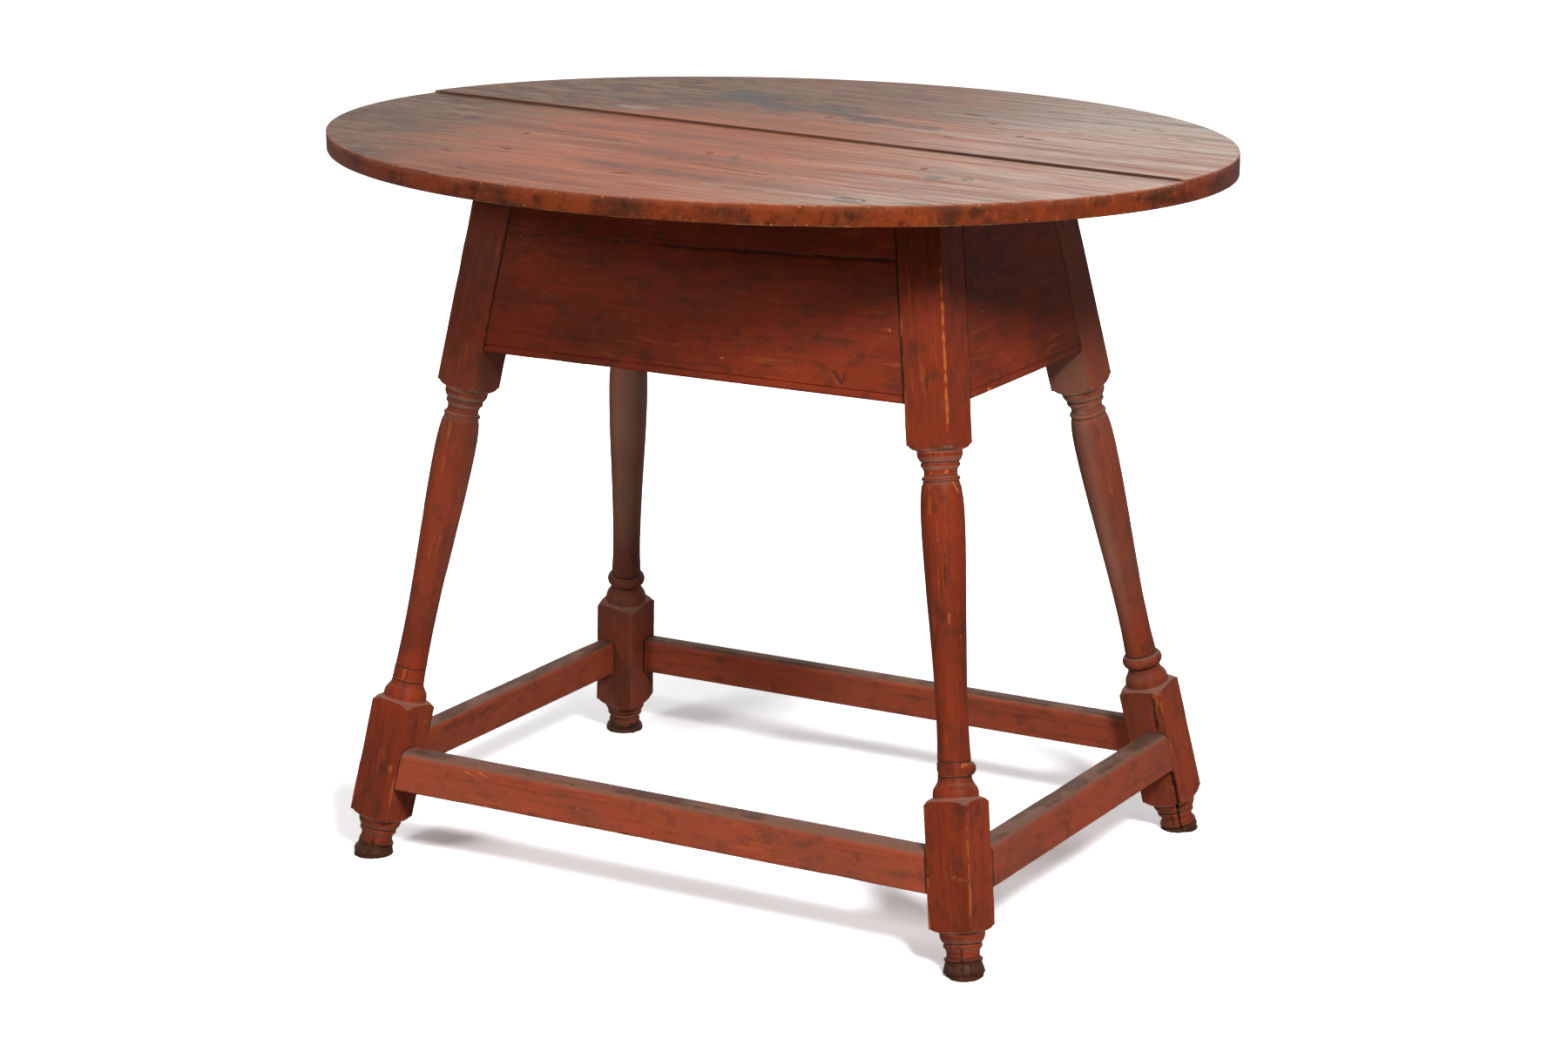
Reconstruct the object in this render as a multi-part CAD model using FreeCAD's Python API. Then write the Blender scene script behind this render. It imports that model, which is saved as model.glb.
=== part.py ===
import FreeCAD, Part
import math
import os
from collections import namedtuple

# Oval tavern table: two top boards pinned to a frame of four raked, turned legs,
# four aprons and four low stretchers, joined by pegged mortises and tenons.
# Millimetres. +X runs along the oval, +Y to the back, +Z up.
# The origin is on the floor under the middle of the top.

# Top: two boards of unlike thickness, meeting at a seam that runs askew
top_length = 877.0
top_width = 650.0
front_board_thickness = 18.5
back_board_thickness = 20.5
rim_upper_round = 3.0
rim_lower_round = 2.5
seam_left_y = 75.0
seam_right_y = -47.0
seam_gap = 0.8
seam_round = 1.0

# Frame: places of the leg axes on the floor and under the top
frame_height = 656.0
foot_reach_x = 315.9
foot_reach_y = 217.3
head_reach_x = 214.4
head_reach_y = 97.6

# Leg: square stretches and the rounded shoulders between square and turned
post_width = 43.0
post_arris = 0.8
block_height = 95.5
post_below_apron = 26.0
foot_shoulder_height = 11.5
block_shoulder_height = 12.0
post_shoulder_height = 14.0
shoulder_radius = 20.8
shoulder_bulge_shares = (0.62, 0.36)

# Leg: pad on the floor
pad_height = 8.0
pad_radius = 18.9
pad_neck_radius = 17.0
pad_straight_share = 0.3
pad_bulge_shares = (0.3, 0.6)

# Leg: ring, cove, fillet and cup below each square stretch
ring_height = 4.5
ring_radius = 17.2
ring_root_radius = 15.4
round_peak_share = 0.5
cove_height = 8.5
cove_radius = 14.7
cove_peak_share = 0.42
fillet_height = 3.5
fillet_radius = 17.3
cup_height = 10.0
cup_radius = 20.2
cup_bulge_shares = (0.68, 0.42)

# Leg: base cup, hollow and bead above the block
base_cup_height = 9.8
base_cup_radius = 20.3
base_ledge_radius = 18.8
base_bulge_shares = (0.15, 0.55)
hollow_height = 8.7
hollow_bulge_shares = (0.78, 0.42)
neck_radius = 15.2
bead_height = 12.5
bead_radius = 18.85

# Leg: long vase, as shares of its height and of its swell from waist to belly
waist_radius = 14.1
belly_radius = 19.3
vase_shares = (
    (0.0, 0.13), (0.09, 0.0), (0.35, 0.17), (0.54, 0.55),
    (0.73, 0.9), (0.86, 1.0), (0.96, 0.8), (1.0, 0.48),
)

# Aprons, with a line scratched above the lower edge of the outer face
apron_height = 176.0
apron_thickness = 20.0
apron_setback = 0.8
apron_lower_round = 3.0
quirk_rise = 6.5
quirk_width = 1.4
quirk_depth = 1.2

# Stretchers, centred a little below the middle of the leg's block
stretcher_height = 37.0
stretcher_thickness = 22.0
stretcher_setback = 0.5
stretcher_drop = 2.7
stretcher_upper_round = 6.5
stretcher_lower_round = 2.0

# Joints: tenons, their pegs, and the pins of the top
apron_tenon_thickness = 9.5
apron_tenon_foot = 12.0
apron_tenon_head = 22.0
stretcher_tenon_thickness = 9.0
stretcher_tenon_shoulder = 5.0
mortise_wall = 1.0
mortise_bottom_gap = 1.0
joint_clearance = 0.1
peg_diameter = 8.0
peg_inset = 11.0
peg_past_tenon = 4.0
peg_sink = 0.4
apron_peg_shares = (0.2, 0.8)
stretcher_peg_shares = (0.5,)
pin_diameter = 8.0
pin_depth = 38.0
pin_inset = 5.0
pin_sink = 0.6

# How far a cutting tool passes what it cuts
overrun = 5.0

# Sizes that follow from those above
slope_x = (foot_reach_x - head_reach_x) / frame_height
slope_y = (foot_reach_y - head_reach_y) / frame_height
lean = math.sqrt(1 + slope_x ** 2 + slope_y ** 2)
beyond_all = top_length + top_width + frame_height
corner_reach = post_width / math.sqrt(2) + overrun
leg_tail = post_width + overrun
moulding_height = ring_height + cove_height + fillet_height + cup_height
apron_low = frame_height - apron_height
block_low = pad_height + moulding_height + foot_shoulder_height
block_high = block_low + block_height
vase_low = block_high + block_shoulder_height + base_cup_height + hollow_height + bead_height
post_low = (apron_low - post_below_apron) * lean
vase_high = post_low - post_shoulder_height - moulding_height
stretcher_middle = (block_low + block_high) / 2 / lean - stretcher_drop
stretcher_low = stretcher_middle - stretcher_height / 2
stretcher_high = stretcher_middle + stretcher_height / 2

ORIGIN = FreeCAD.Vector(0, 0, 0)
ALONG = FreeCAD.Vector(1, 0, 0)
BACK = FreeCAD.Vector(0, 1, 0)
UP = FreeCAD.Vector(0, 0, 1)
DIAGONAL = FreeCAD.Vector(1, -1, 0).normalize()
FULL_TURN = 360

# One side of the frame, drawn with its rails along X at the back and its leg at the right.
# A short side is drawn the same way and then swapped along the diagonal.
Side = namedtuple("Side", "foot_along foot_across slope_along slope_across")
long_side = Side(foot_reach_x, foot_reach_y, slope_x, slope_y)
short_side = Side(foot_reach_y, foot_reach_x, slope_y, slope_x)

Rail = namedtuple("Rail", "low high thickness setback tenon_thickness tenon_low tenon_high peg_shares")
apron = Rail(
    apron_low, frame_height, apron_thickness, apron_setback, apron_tenon_thickness,
    apron_low + apron_tenon_foot, frame_height - apron_tenon_head, apron_peg_shares,
)
stretcher = Rail(
    stretcher_low, stretcher_high, stretcher_thickness, stretcher_setback, stretcher_tenon_thickness,
    stretcher_low + stretcher_tenon_shoulder, stretcher_high - stretcher_tenon_shoulder,
    stretcher_peg_shares,
)

# Corners of the frame, as signs of X and Y
corners = {
    "back_right": (1, 1),
    "back_left": (-1, 1),
    "front_right": (1, -1),
    "front_left": (-1, -1),
}


class Turning:
    """Outline of a turned piece, drawn upward along its axis."""

    def __init__(self, radius, height):
        self.end = FreeCAD.Vector(radius, 0, height)
        self.edges = []

    def line(self, radius, rise):
        """A straight stretch to a radius."""
        start = self.end
        self.end = FreeCAD.Vector(radius, 0, start.z + rise)
        self.edges.append(Part.LineSegment(start, self.end).toShape())

    def round(self, peak_radius, radius, rise, peak_share):
        """A bead or a cove to a radius, with its peak at a share of the rise."""
        start = self.end
        self.end = FreeCAD.Vector(radius, 0, start.z + rise)
        peak = FreeCAD.Vector(peak_radius, 0, start.z + rise * peak_share)
        self.edges.append(Part.Arc(start, peak, self.end).toShape())

    def bulge(self, radius, rise, bulge_shares):
        """An arc to a radius, by a point at shares of its step and of its rise."""
        step_share, rise_share = bulge_shares
        by_radius = self.end.x + (radius - self.end.x) * step_share
        self.round(by_radius, radius, rise, rise_share)

    def vase(self, rise, shares):
        """A smooth curve through shares of the rise and of the swell."""
        low = self.end.z
        points = [
            FreeCAD.Vector(vase_radius(swell_share), 0, low + rise * rise_share)
            for rise_share, swell_share in shares
        ]
        curve = Part.BSplineCurve()
        curve.interpolate(points)
        self.end = points[-1]
        self.edges.append(curve.toShape())


class Section:
    """Outline across a rail, by insets from the outer face of the posts and by heights."""

    def __init__(self, side, inset, height):
        self.side = side
        self.start = (inset, height)
        self.end = (inset, height)
        self.edges = []

    def point(self, inset, height):
        """Place of an inset at a height, on the rake of the side."""
        spread = math.sqrt(1 + self.side.slope_across ** 2)
        axis = self.side.foot_across - self.side.slope_across * height
        return FreeCAD.Vector(0, axis + (post_width / 2 - inset) * spread, height)

    def line(self, inset, height):
        """A straight stretch."""
        edge = Part.LineSegment(self.point(*self.end), self.point(inset, height))
        self.edges.append(edge.toShape())
        self.end = (inset, height)

    def arc(self, by_inset, by_height, inset, height):
        """An arc by a point."""
        edge = Part.Arc(self.point(*self.end), self.point(by_inset, by_height), self.point(inset, height))
        self.edges.append(edge.toShape())
        self.end = (inset, height)

    def corner(self, corner_inset, corner_height, inset, height):
        """A quarter round in place of a sharp corner."""
        pull_share = 1 - math.sqrt(0.5)
        by_inset = corner_inset + (self.end[0] + inset - 2 * corner_inset) * pull_share
        by_height = corner_height + (self.end[1] + height - 2 * corner_height) * pull_share
        self.arc(by_inset, by_height, inset, height)

    def bar(self):
        """The closed outline drawn out along the side, past both legs."""
        self.line(*self.start)
        face = Part.Face(Part.Wire(self.edges))
        face.translate(ALONG * -beyond_all)
        return face.extrude(ALONG * (2 * beyond_all))


def vase_radius(swell_share):
    """Radius of the vase between its waist and its belly."""
    return waist_radius + (belly_radius - waist_radius) * swell_share


def turn_moulding(turning):
    """Ring, cove, fillet and cup, from a thin turning up to a square stretch."""
    turning.line(ring_root_radius, 0)
    turning.round(ring_radius, ring_root_radius, ring_height, round_peak_share)
    turning.round(cove_radius, fillet_radius, cove_height, cove_peak_share)
    turning.line(fillet_radius, fillet_height)
    turning.bulge(cup_radius, cup_height, cup_bulge_shares)


def turn_shoulder_up(turning, height):
    """Rounded shoulder from a cup out past the corners of the square above."""
    turning.line(shoulder_radius, 0)
    turning.bulge(corner_reach, height, shoulder_bulge_shares)


def turn_shoulder_down(turning, height):
    """Rounded shoulder from the corners of the square below in to a cup."""
    step_share, rise_share = shoulder_bulge_shares
    turning.bulge(shoulder_radius, height, (1 - step_share, 1 - rise_share))


def turned_envelope():
    """All that the lathe leaves of a leg, wide enough to clear the square stretches."""
    first_swell_share = vase_shares[0][1]
    turning = Turning(0, -leg_tail)
    turning.line(pad_radius, 0)
    turning.line(pad_radius, leg_tail + pad_height * pad_straight_share)
    turning.bulge(pad_neck_radius, pad_height * (1 - pad_straight_share), pad_bulge_shares)
    turn_moulding(turning)
    turn_shoulder_up(turning, foot_shoulder_height)
    turning.line(corner_reach, block_height)
    turn_shoulder_down(turning, block_shoulder_height)
    turning.line(base_cup_radius, 0)
    turning.bulge(base_ledge_radius, base_cup_height, base_bulge_shares)
    turning.bulge(neck_radius, hollow_height, hollow_bulge_shares)
    turning.round(bead_radius, vase_radius(first_swell_share), bead_height, round_peak_share)
    turning.vase(vase_high - vase_low, vase_shares)
    turn_moulding(turning)
    turn_shoulder_up(turning, post_shoulder_height)
    turning.line(corner_reach, frame_height * lean + leg_tail - post_low)
    turning.line(0, 0)
    turning.line(0, -leg_tail - turning.end.z)
    return Part.Face(Part.Wire(turning.edges)).revolve(ORIGIN, UP, FULL_TURN)


def square_blank():
    """The square stick that a leg is turned from, with its long arrises eased."""
    corner = FreeCAD.Vector(-post_width / 2, -post_width / 2, -leg_tail)
    blank = Part.makeBox(post_width, post_width, frame_height * lean + 2 * leg_tail, corner)
    upright = [edge for edge in blank.Edges if edge.Length > post_width + leg_tail]
    return blank.makeFillet(post_arris, upright)


def level_slab(low, high):
    """Everything between two heights."""
    corner = FreeCAD.Vector(-beyond_all / 2, -beyond_all / 2, low)
    return Part.makeBox(beyond_all, beyond_all, high - low, corner)


def in_leg(shape, side):
    """A shape drawn in a leg's own frame, set on the floor and up the rake of its side."""
    axis = FreeCAD.Vector(-side.slope_along, -side.slope_across, 1)
    foot = FreeCAD.Vector(side.foot_along, side.foot_across, 0)
    placement = FreeCAD.Placement(foot, FreeCAD.Rotation(UP, axis))
    return shape.transformed(placement.toMatrix())


def on_side(shape, side):
    """A shape of a side, carried to its real place in the frame."""
    if side is short_side:
        return shape.mirror(ORIGIN, DIAGONAL)
    return shape


def at_corner(shape, x_sign, y_sign):
    """A shape of the back right corner, mirrored to another corner."""
    if x_sign < 0:
        shape = shape.mirror(ORIGIN, ALONG)
    if y_sign < 0:
        shape = shape.mirror(ORIGIN, BACK)
    return shape


def between_legs(bar, side, depth):
    """A bar cut off at both legs, a depth past the face where it meets them."""
    corner = FreeCAD.Vector(depth - post_width / 2, -beyond_all, -beyond_all)
    beyond = in_leg(Part.makeBox(2 * beyond_all, 2 * beyond_all, 2 * beyond_all, corner), side)
    return bar.cut([beyond, beyond.mirror(ORIGIN, ALONG)])


def tenon_cheek(rail):
    """Inset of a tenon's inner cheek from the outer face of its post."""
    return rail.setback + (rail.thickness + rail.tenon_thickness) / 2


def tenon_length(rail):
    """Length of a tenon that stops short of the mortise cut from the next side."""
    return post_width - tenon_cheek(rail) - joint_clearance - mortise_bottom_gap - mortise_wall


def tenon_bar(rail, side, depth, clearance):
    """Bar through a rail that ends in its two tenons, or with a clearance in their mortises."""
    inner = tenon_cheek(rail) + clearance
    outer = tenon_cheek(rail) - rail.tenon_thickness - clearance
    section = Section(side, outer, rail.tenon_low - clearance)
    section.line(inner, rail.tenon_low - clearance)
    section.line(inner, rail.tenon_high + clearance)
    section.line(outer, rail.tenon_high + clearance)
    return between_legs(section.bar(), side, depth)


def rail_mortise(rail, side):
    """What a rail's tenon takes out of its legs."""
    return tenon_bar(rail, side, tenon_length(rail) + mortise_bottom_gap, joint_clearance)


def rail_pegs(rail, side, sink, clearance):
    """Pegs of a rail's right-hand joint, sunk below the post's face, or with a clearance their holes."""
    depth = tenon_cheek(rail) + peg_past_tenon - sink + clearance
    pegs = []
    for share in rail.peg_shares:
        height = rail.tenon_low + (rail.tenon_high - rail.tenon_low) * share
        head = FreeCAD.Vector(peg_inset - post_width / 2, post_width / 2 - sink, height * lean)
        peg = Part.makeCylinder(peg_diameter / 2 + clearance, depth, head, -BACK)
        pegs.append(in_leg(peg, side))
    return pegs


def peg_holes(rail, side):
    """Holes of a rail's right-hand joint, open past the post's face."""
    return rail_pegs(rail, side, -overrun, joint_clearance)


def corner_pegs(rail):
    """All pegs of one kind of rail in the back right leg."""
    pegs = []
    for side in (long_side, short_side):
        pegs += [on_side(peg, side) for peg in rail_pegs(rail, side, peg_sink, 0)]
    return Part.makeCompound(pegs)


def apron_bar(side):
    """Apron without ends: its outer face has a scratched line over a rounded lower edge."""
    outer = apron.setback
    inner = outer + apron.thickness
    quirk_low = apron.low + quirk_rise
    section = Section(side, inner, apron.high)
    section.line(inner, apron.low)
    section.line(outer + apron_lower_round, apron.low)
    section.corner(outer, apron.low, outer, apron.low + apron_lower_round)
    section.line(outer, quirk_low)
    section.arc(outer + quirk_depth, quirk_low + quirk_width / 2, outer, quirk_low + quirk_width)
    section.line(outer, apron.high)
    return section.bar()


def stretcher_bar(side):
    """Stretcher without ends: rounded above, eased below."""
    outer = stretcher.setback
    inner = outer + stretcher.thickness
    section = Section(side, inner, stretcher.low + stretcher_lower_round)
    section.corner(inner, stretcher.low, inner - stretcher_lower_round, stretcher.low)
    section.line(outer + stretcher_lower_round, stretcher.low)
    section.corner(outer, stretcher.low, outer, stretcher.low + stretcher_lower_round)
    section.line(outer, stretcher.high - stretcher_upper_round)
    section.corner(outer, stretcher.high, outer + stretcher_upper_round, stretcher.high)
    section.line(inner - stretcher_upper_round, stretcher.high)
    section.corner(inner, stretcher.high, inner, stretcher.high - stretcher_upper_round)
    return section.bar()


def make_rail(rail, bar, side, pin_holes):
    """A rail shouldered on its legs, with a drilled tenon at each end."""
    body = between_legs(bar, side, 0)
    body = body.fuse(tenon_bar(rail, side, tenon_length(rail), 0)).removeSplitter()
    holes = peg_holes(rail, side)
    holes += [hole.mirror(ORIGIN, ALONG) for hole in holes]
    return on_side(body.cut(holes), side).cut(pin_holes)


def top_pin(x, y, lean_x, lean_y, high, clearance):
    """Pin on a slant through a top board into the frame, or with a clearance its hole."""
    axis = FreeCAD.Vector(-lean_x, -lean_y, 1)
    low = FreeCAD.Vector(x, y, frame_height) - axis * (pin_depth + pin_diameter)
    radius = pin_diameter / 2 + clearance
    cylinder = Part.makeCylinder(radius, 2 * pin_depth + top_width, low, axis)
    return cylinder.common(level_slab(frame_height - pin_depth - clearance, high))


def back_pins(high, clearance):
    """Pins over the back right post, the back left post and the middle of the back apron."""
    post = top_pin(head_reach_x - pin_inset, head_reach_y - pin_inset, slope_x, slope_y, high, clearance)
    apron_y = Section(long_side, 0, 0).point(apron.setback + apron.thickness / 2, frame_height).y
    middle = top_pin(0, apron_y, 0, slope_y, high, clearance)
    return [post, post.mirror(ORIGIN, ALONG), middle]


def make_leg(pin_holes):
    """Back right leg: turned from a square stick, cut level at both ends, mortised and drilled."""
    leg = in_leg(square_blank().common(turned_envelope()), long_side)
    leg = leg.common(level_slab(0, frame_height))
    cuts = list(pin_holes)
    for side in (long_side, short_side):
        for rail in (apron, stretcher):
            cuts.append(on_side(rail_mortise(rail, side), side))
            cuts += [on_side(hole, side) for hole in peg_holes(rail, side)]
    return leg.cut(cuts)


def seam_part(thickness, y_sign):
    """Everything on one side of the seam, with the board's upper arris eased there."""
    high = frame_height + thickness
    low = frame_height - overrun
    near = seam_gap / 2
    eased = near + seam_round
    bend = near + seam_round * (1 - math.sqrt(0.5))
    bend_height = high - seam_round * (1 - math.sqrt(0.5))

    def point(across, height):
        return FreeCAD.Vector(0, across * y_sign, height)

    edges = [
        Part.Arc(point(near, high - seam_round), point(bend, bend_height), point(eased, high)).toShape(),
        Part.LineSegment(point(eased, high), point(eased, high + overrun)).toShape(),
        Part.LineSegment(point(eased, high + overrun), point(top_width, high + overrun)).toShape(),
        Part.LineSegment(point(top_width, high + overrun), point(top_width, low)).toShape(),
        Part.LineSegment(point(top_width, low), point(near, low)).toShape(),
        Part.LineSegment(point(near, low), point(near, high - seam_round)).toShape(),
    ]
    face = Part.Face(Part.Wire(edges))
    face.translate(ALONG * -top_length)
    part = face.extrude(ALONG * (2 * top_length))
    turn = FreeCAD.Rotation(ALONG, FreeCAD.Vector(top_length, seam_right_y - seam_left_y, 0))
    middle = FreeCAD.Vector(0, (seam_left_y + seam_right_y) / 2, 0)
    return part.transformed(FreeCAD.Placement(middle, turn).toMatrix())


def make_board(thickness, y_sign, pin_holes):
    """One board of the oval top, rounded at its rim and eased at the seam."""
    centre = FreeCAD.Vector(0, 0, frame_height)
    rim = Part.Wire(Part.Ellipse(centre, top_length / 2, top_width / 2).toShape())
    oval = Part.Face(rim).extrude(UP * thickness)
    upper = [edge for edge in oval.Edges if edge.BoundBox.ZMin > frame_height + thickness / 2]
    oval = oval.makeFillet(rim_upper_round, upper)
    lower = [edge for edge in oval.Edges if edge.BoundBox.ZMax < frame_height + thickness / 2]
    oval = oval.makeFillet(rim_lower_round, lower)
    return oval.common(seam_part(thickness, y_sign)).cut(pin_holes)


def save(name, shape):
    """One file for each piece or group of like pieces."""
    shape.exportStep("parts/%s.step" % name)


def main():
    os.makedirs("parts", exist_ok=True)
    front_high = frame_height + front_board_thickness - pin_sink
    back_high = frame_height + back_board_thickness - pin_sink
    back_holes = back_pins(back_high + overrun, joint_clearance)
    front_holes = [hole.mirror(ORIGIN, BACK) for hole in back_holes]
    front_pins = [pin.mirror(ORIGIN, BACK) for pin in back_pins(front_high, 0)]

    save("top_front_board", make_board(front_board_thickness, -1, front_holes))
    save("top_back_board", make_board(back_board_thickness, 1, back_holes))
    save("top_pins_front_board", Part.makeCompound(front_pins))
    save("top_pins_back_board", Part.makeCompound(back_pins(back_high, 0)))

    leg = make_leg(back_holes)
    apron_pegs = corner_pegs(apron)
    stretcher_pegs = corner_pegs(stretcher)
    for corner, signs in corners.items():
        save("leg_" + corner, at_corner(leg, *signs))
        save("apron_pegs_" + corner, at_corner(apron_pegs, *signs))
        save("stretcher_pegs_" + corner, at_corner(stretcher_pegs, *signs))

    for name, rail, make_bar in (("apron", apron, apron_bar), ("stretcher", stretcher, stretcher_bar)):
        back = make_rail(rail, make_bar(long_side), long_side, back_holes)
        right = make_rail(rail, make_bar(short_side), short_side, back_holes)
        save(name + "_back", back)
        save(name + "_front", at_corner(back, 1, -1))
        save(name + "_right", right)
        save(name + "_left", at_corner(right, -1, 1))


main()
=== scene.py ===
"""Oval tavern table in old red paint: the boards, legs, aprons and stretchers as they look.

Metres, in the frame of the solids. +X runs along the oval, +Y to the back, +Z up.
"""
import math
from collections import namedtuple

import bmesh
import bpy
import numpy as np
from bpy.props import FloatProperty, FloatVectorProperty, PointerProperty
from mathutils import Matrix, Vector
from mathutils.bvhtree import BVHTree


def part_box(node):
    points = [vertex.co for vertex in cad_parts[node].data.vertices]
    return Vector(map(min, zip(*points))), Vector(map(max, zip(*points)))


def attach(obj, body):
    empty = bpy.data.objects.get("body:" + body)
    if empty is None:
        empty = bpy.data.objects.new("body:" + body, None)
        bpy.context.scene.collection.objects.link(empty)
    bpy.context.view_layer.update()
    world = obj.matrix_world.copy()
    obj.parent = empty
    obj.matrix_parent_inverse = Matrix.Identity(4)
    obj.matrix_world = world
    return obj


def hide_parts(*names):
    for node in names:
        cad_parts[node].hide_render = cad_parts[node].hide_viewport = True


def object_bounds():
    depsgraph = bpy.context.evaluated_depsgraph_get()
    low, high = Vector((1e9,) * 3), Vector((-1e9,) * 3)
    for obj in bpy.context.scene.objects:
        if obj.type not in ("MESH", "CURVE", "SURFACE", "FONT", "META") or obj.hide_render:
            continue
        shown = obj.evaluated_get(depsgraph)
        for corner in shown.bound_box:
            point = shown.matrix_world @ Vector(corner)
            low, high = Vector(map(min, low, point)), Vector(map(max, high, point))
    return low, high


bl_info = {
    "name": "Oval Tavern Table",
    "version": (1, 0, 0),
    "blender": (4, 5, 0),
    "location": "3D View > Sidebar > Tavern Table",
    "description": "Dresses the solids of an oval tavern table in worn red paint",
    "category": "Add Mesh",
}

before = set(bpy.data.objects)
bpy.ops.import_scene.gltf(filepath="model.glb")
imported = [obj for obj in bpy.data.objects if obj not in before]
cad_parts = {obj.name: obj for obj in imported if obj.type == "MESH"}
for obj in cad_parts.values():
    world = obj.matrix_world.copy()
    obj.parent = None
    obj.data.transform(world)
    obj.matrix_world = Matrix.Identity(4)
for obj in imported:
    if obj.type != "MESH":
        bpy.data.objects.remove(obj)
CAD_LOW, CAD_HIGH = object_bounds()

BODY = "root"
TOP_SLOT = "top_paint"
FRAME_SLOT = "frame_paint"
SIDES = ("front", "back", "left", "right")
CORNERS = {"front_left": (-1, -1), "front_right": (1, -1), "back_left": (-1, 1), "back_right": (1, 1)}
MM = 0.001
WELD = 0.002 * MM


# Settings that a user would change

def paint(name, description, red, green, blue):
    """A colour setting, given as it looks on a screen from 0 to 255."""
    shades = [((shade / 255 + 0.055) / 1.055) ** 2.4 for shade in (red, green, blue)]
    return FloatVectorProperty(
        name=name, description=description, subtype="COLOR", size=3, min=0, max=1, default=shades
    )


def length(name, description, default):
    """A length setting in metres."""
    return FloatProperty(
        name=name, description=description, default=default, min=0, unit="LENGTH", precision=5
    )


def share(name, description, default):
    """A setting without a unit."""
    return FloatProperty(
        name=name, description=description, default=default, min=0, max=1, subtype="FACTOR"
    )


def power(name, description, default):
    """A lamp's power in watts."""
    return FloatProperty(name=name, description=description, default=default, min=0, unit="POWER")


class TopLook(bpy.types.PropertyGroup):
    """Sizes and colours of the two boards of the top."""

    rim_upper_round: length("Upper rim round", "Round of the rim's upper edge", 1.6 * MM)
    rim_lower_round: length("Lower rim round", "Round of the rim's lower edge", 1.4 * MM)
    seam_round: length("Seam round", "Round of the edges along the seam", 0.6 * MM)
    seam_gap: length("Seam gap", "Space between the two boards", 0.5 * MM)
    ridge_depth: length("Ridge depth", "How far the soft grain has worn down", 0.35 * MM)
    rose_paint: paint("Rose paint", "Paint of the top, faded to rose", 160, 94, 64)
    deep_paint: paint("Deep paint", "Paint of the top where it kept its colour", 116, 60, 38)
    bloom: paint("Bloom", "Grey brown weathering at the left and the back", 104, 80, 58)
    dark_bloom: paint("Dark bloom", "Darkest weathering at the left and the back", 56, 44, 34)
    # Pale sheen and bloom: painted as the sheen at the top's right end and on the grain's crests there,
    # and as fine pale fibres elsewhere.
    pale_sheen_and_bloom: paint("Pale bloom", "Pale weathering along the grain", 184, 170, 156)
    stain: paint("Stain", "Dark marks left on the top", 50, 51, 46)
    olive: paint("Olive", "Yellowed patches", 104, 90, 60)
    orange: paint("Orange", "Patches of brighter paint", 172, 84, 46)
    rim_brown: paint("Rim brown", "Browned paint of the rim", 122, 52, 24)
    rim_dark: paint("Rim dark", "Darkest paint of the rim", 76, 38, 24)
    bare_wood: paint("Bare wood", "Wood that shows where paint is chipped", 214, 150, 82)


class FrameLook(bpy.types.PropertyGroup):
    """Sizes and colours of the legs, aprons and stretchers."""

    leg_plain_step: length("Leg plain step", "Height of the faces on the legs' plain stretches", 2.0 * MM)
    leg_fine_step: length("Leg fine step", "Height of the faces on the legs' mouldings", 0.45 * MM)
    arris_wear: length("Arris wear", "How far the legs' long corners are rubbed down", 0.7 * MM)
    rail_mesh_size: length("Rail mesh size", "Size of the faces across the rails", 1.5 * MM)
    rail_mesh_length: length("Rail mesh length", "Size of the faces along the rails", 2.4 * MM)
    shoulder_gap: length("Shoulder gap", "Softness of the rails' edges at the legs", 0.7 * MM)
    red_paint: paint("Red paint", "Old red paint of the frame", 131, 49, 25)
    deep_paint: paint("Deep paint", "Red paint darkened with age", 108, 42, 24)
    # Also painted as light on the legs' lower faces that turn to the right.
    fresh_paint: paint("Fresh paint", "Brighter paint of the stretchers", 158, 65, 36)
    rubbed_paint: paint("Rubbed paint", "Paint rubbed thin along edges", 176, 92, 42)
    bare_wood: paint("Bare wood", "Wood that shows where paint is chipped", 212, 150, 88)
    # Grime also paints shade on the legs' faces that turn to the front.
    grime: paint("Grime", "Dirt in hollows", 54, 38, 28)
    dust: paint("Dust", "Grey dirt on ledges", 112, 88, 75)
    # Haze is painted light: a pale sheen under the legs' mouldings and a paler, greyer cast on the back
    # legs; the stretchers get a faint dusty coat of it.
    haze: paint("Haze", "Pale film on the back legs", 170, 130, 110)


class StageLook(bpy.types.PropertyGroup):
    """Light, floor and camera."""

    floor_colour: paint("Floor colour", "Pale floor", 250, 250, 250)
    floor_width: length("Floor width", "Side of the floor", 40.0)
    ambient: share("Ambient light", "Strength of the light from all round", 0.065)
    key_power: power("Key lamp", "Lamp at the right", 175)
    fill_power: power("Fill lamp", "Lamp at the left", 50)
    upper_power: power("Upper lamp", "Lamp overhead", 26)
    back_power: power("Back lamp", "Lamp behind the table", 12)
    rear_power: power("Rear lamp", "Lamp behind the table at the left, without a reflection", 28)


# Random variation that is the same in every run

CELL_PRIMES = (73856093, 19349663, 83492791)
SEED_PRIME = 97531
MIXING_PRIME = 1274126177
LAYER_WEIGHTS = (1.0, 0.5, 0.25)


def lattice(cells, seed):
    """Gives each whole-numbered cell a steady random value from 0 to 1."""
    first, second, third = (cells[:, axis] * prime for axis, prime in enumerate(CELL_PRIMES))
    mixed = first ^ second ^ third ^ seed * SEED_PRIME
    mixed = (mixed ^ (mixed >> 13)) * MIXING_PRIME
    mixed = mixed ^ (mixed >> 16)
    return (mixed & 0xFFFF) / 0xFFFF


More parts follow.
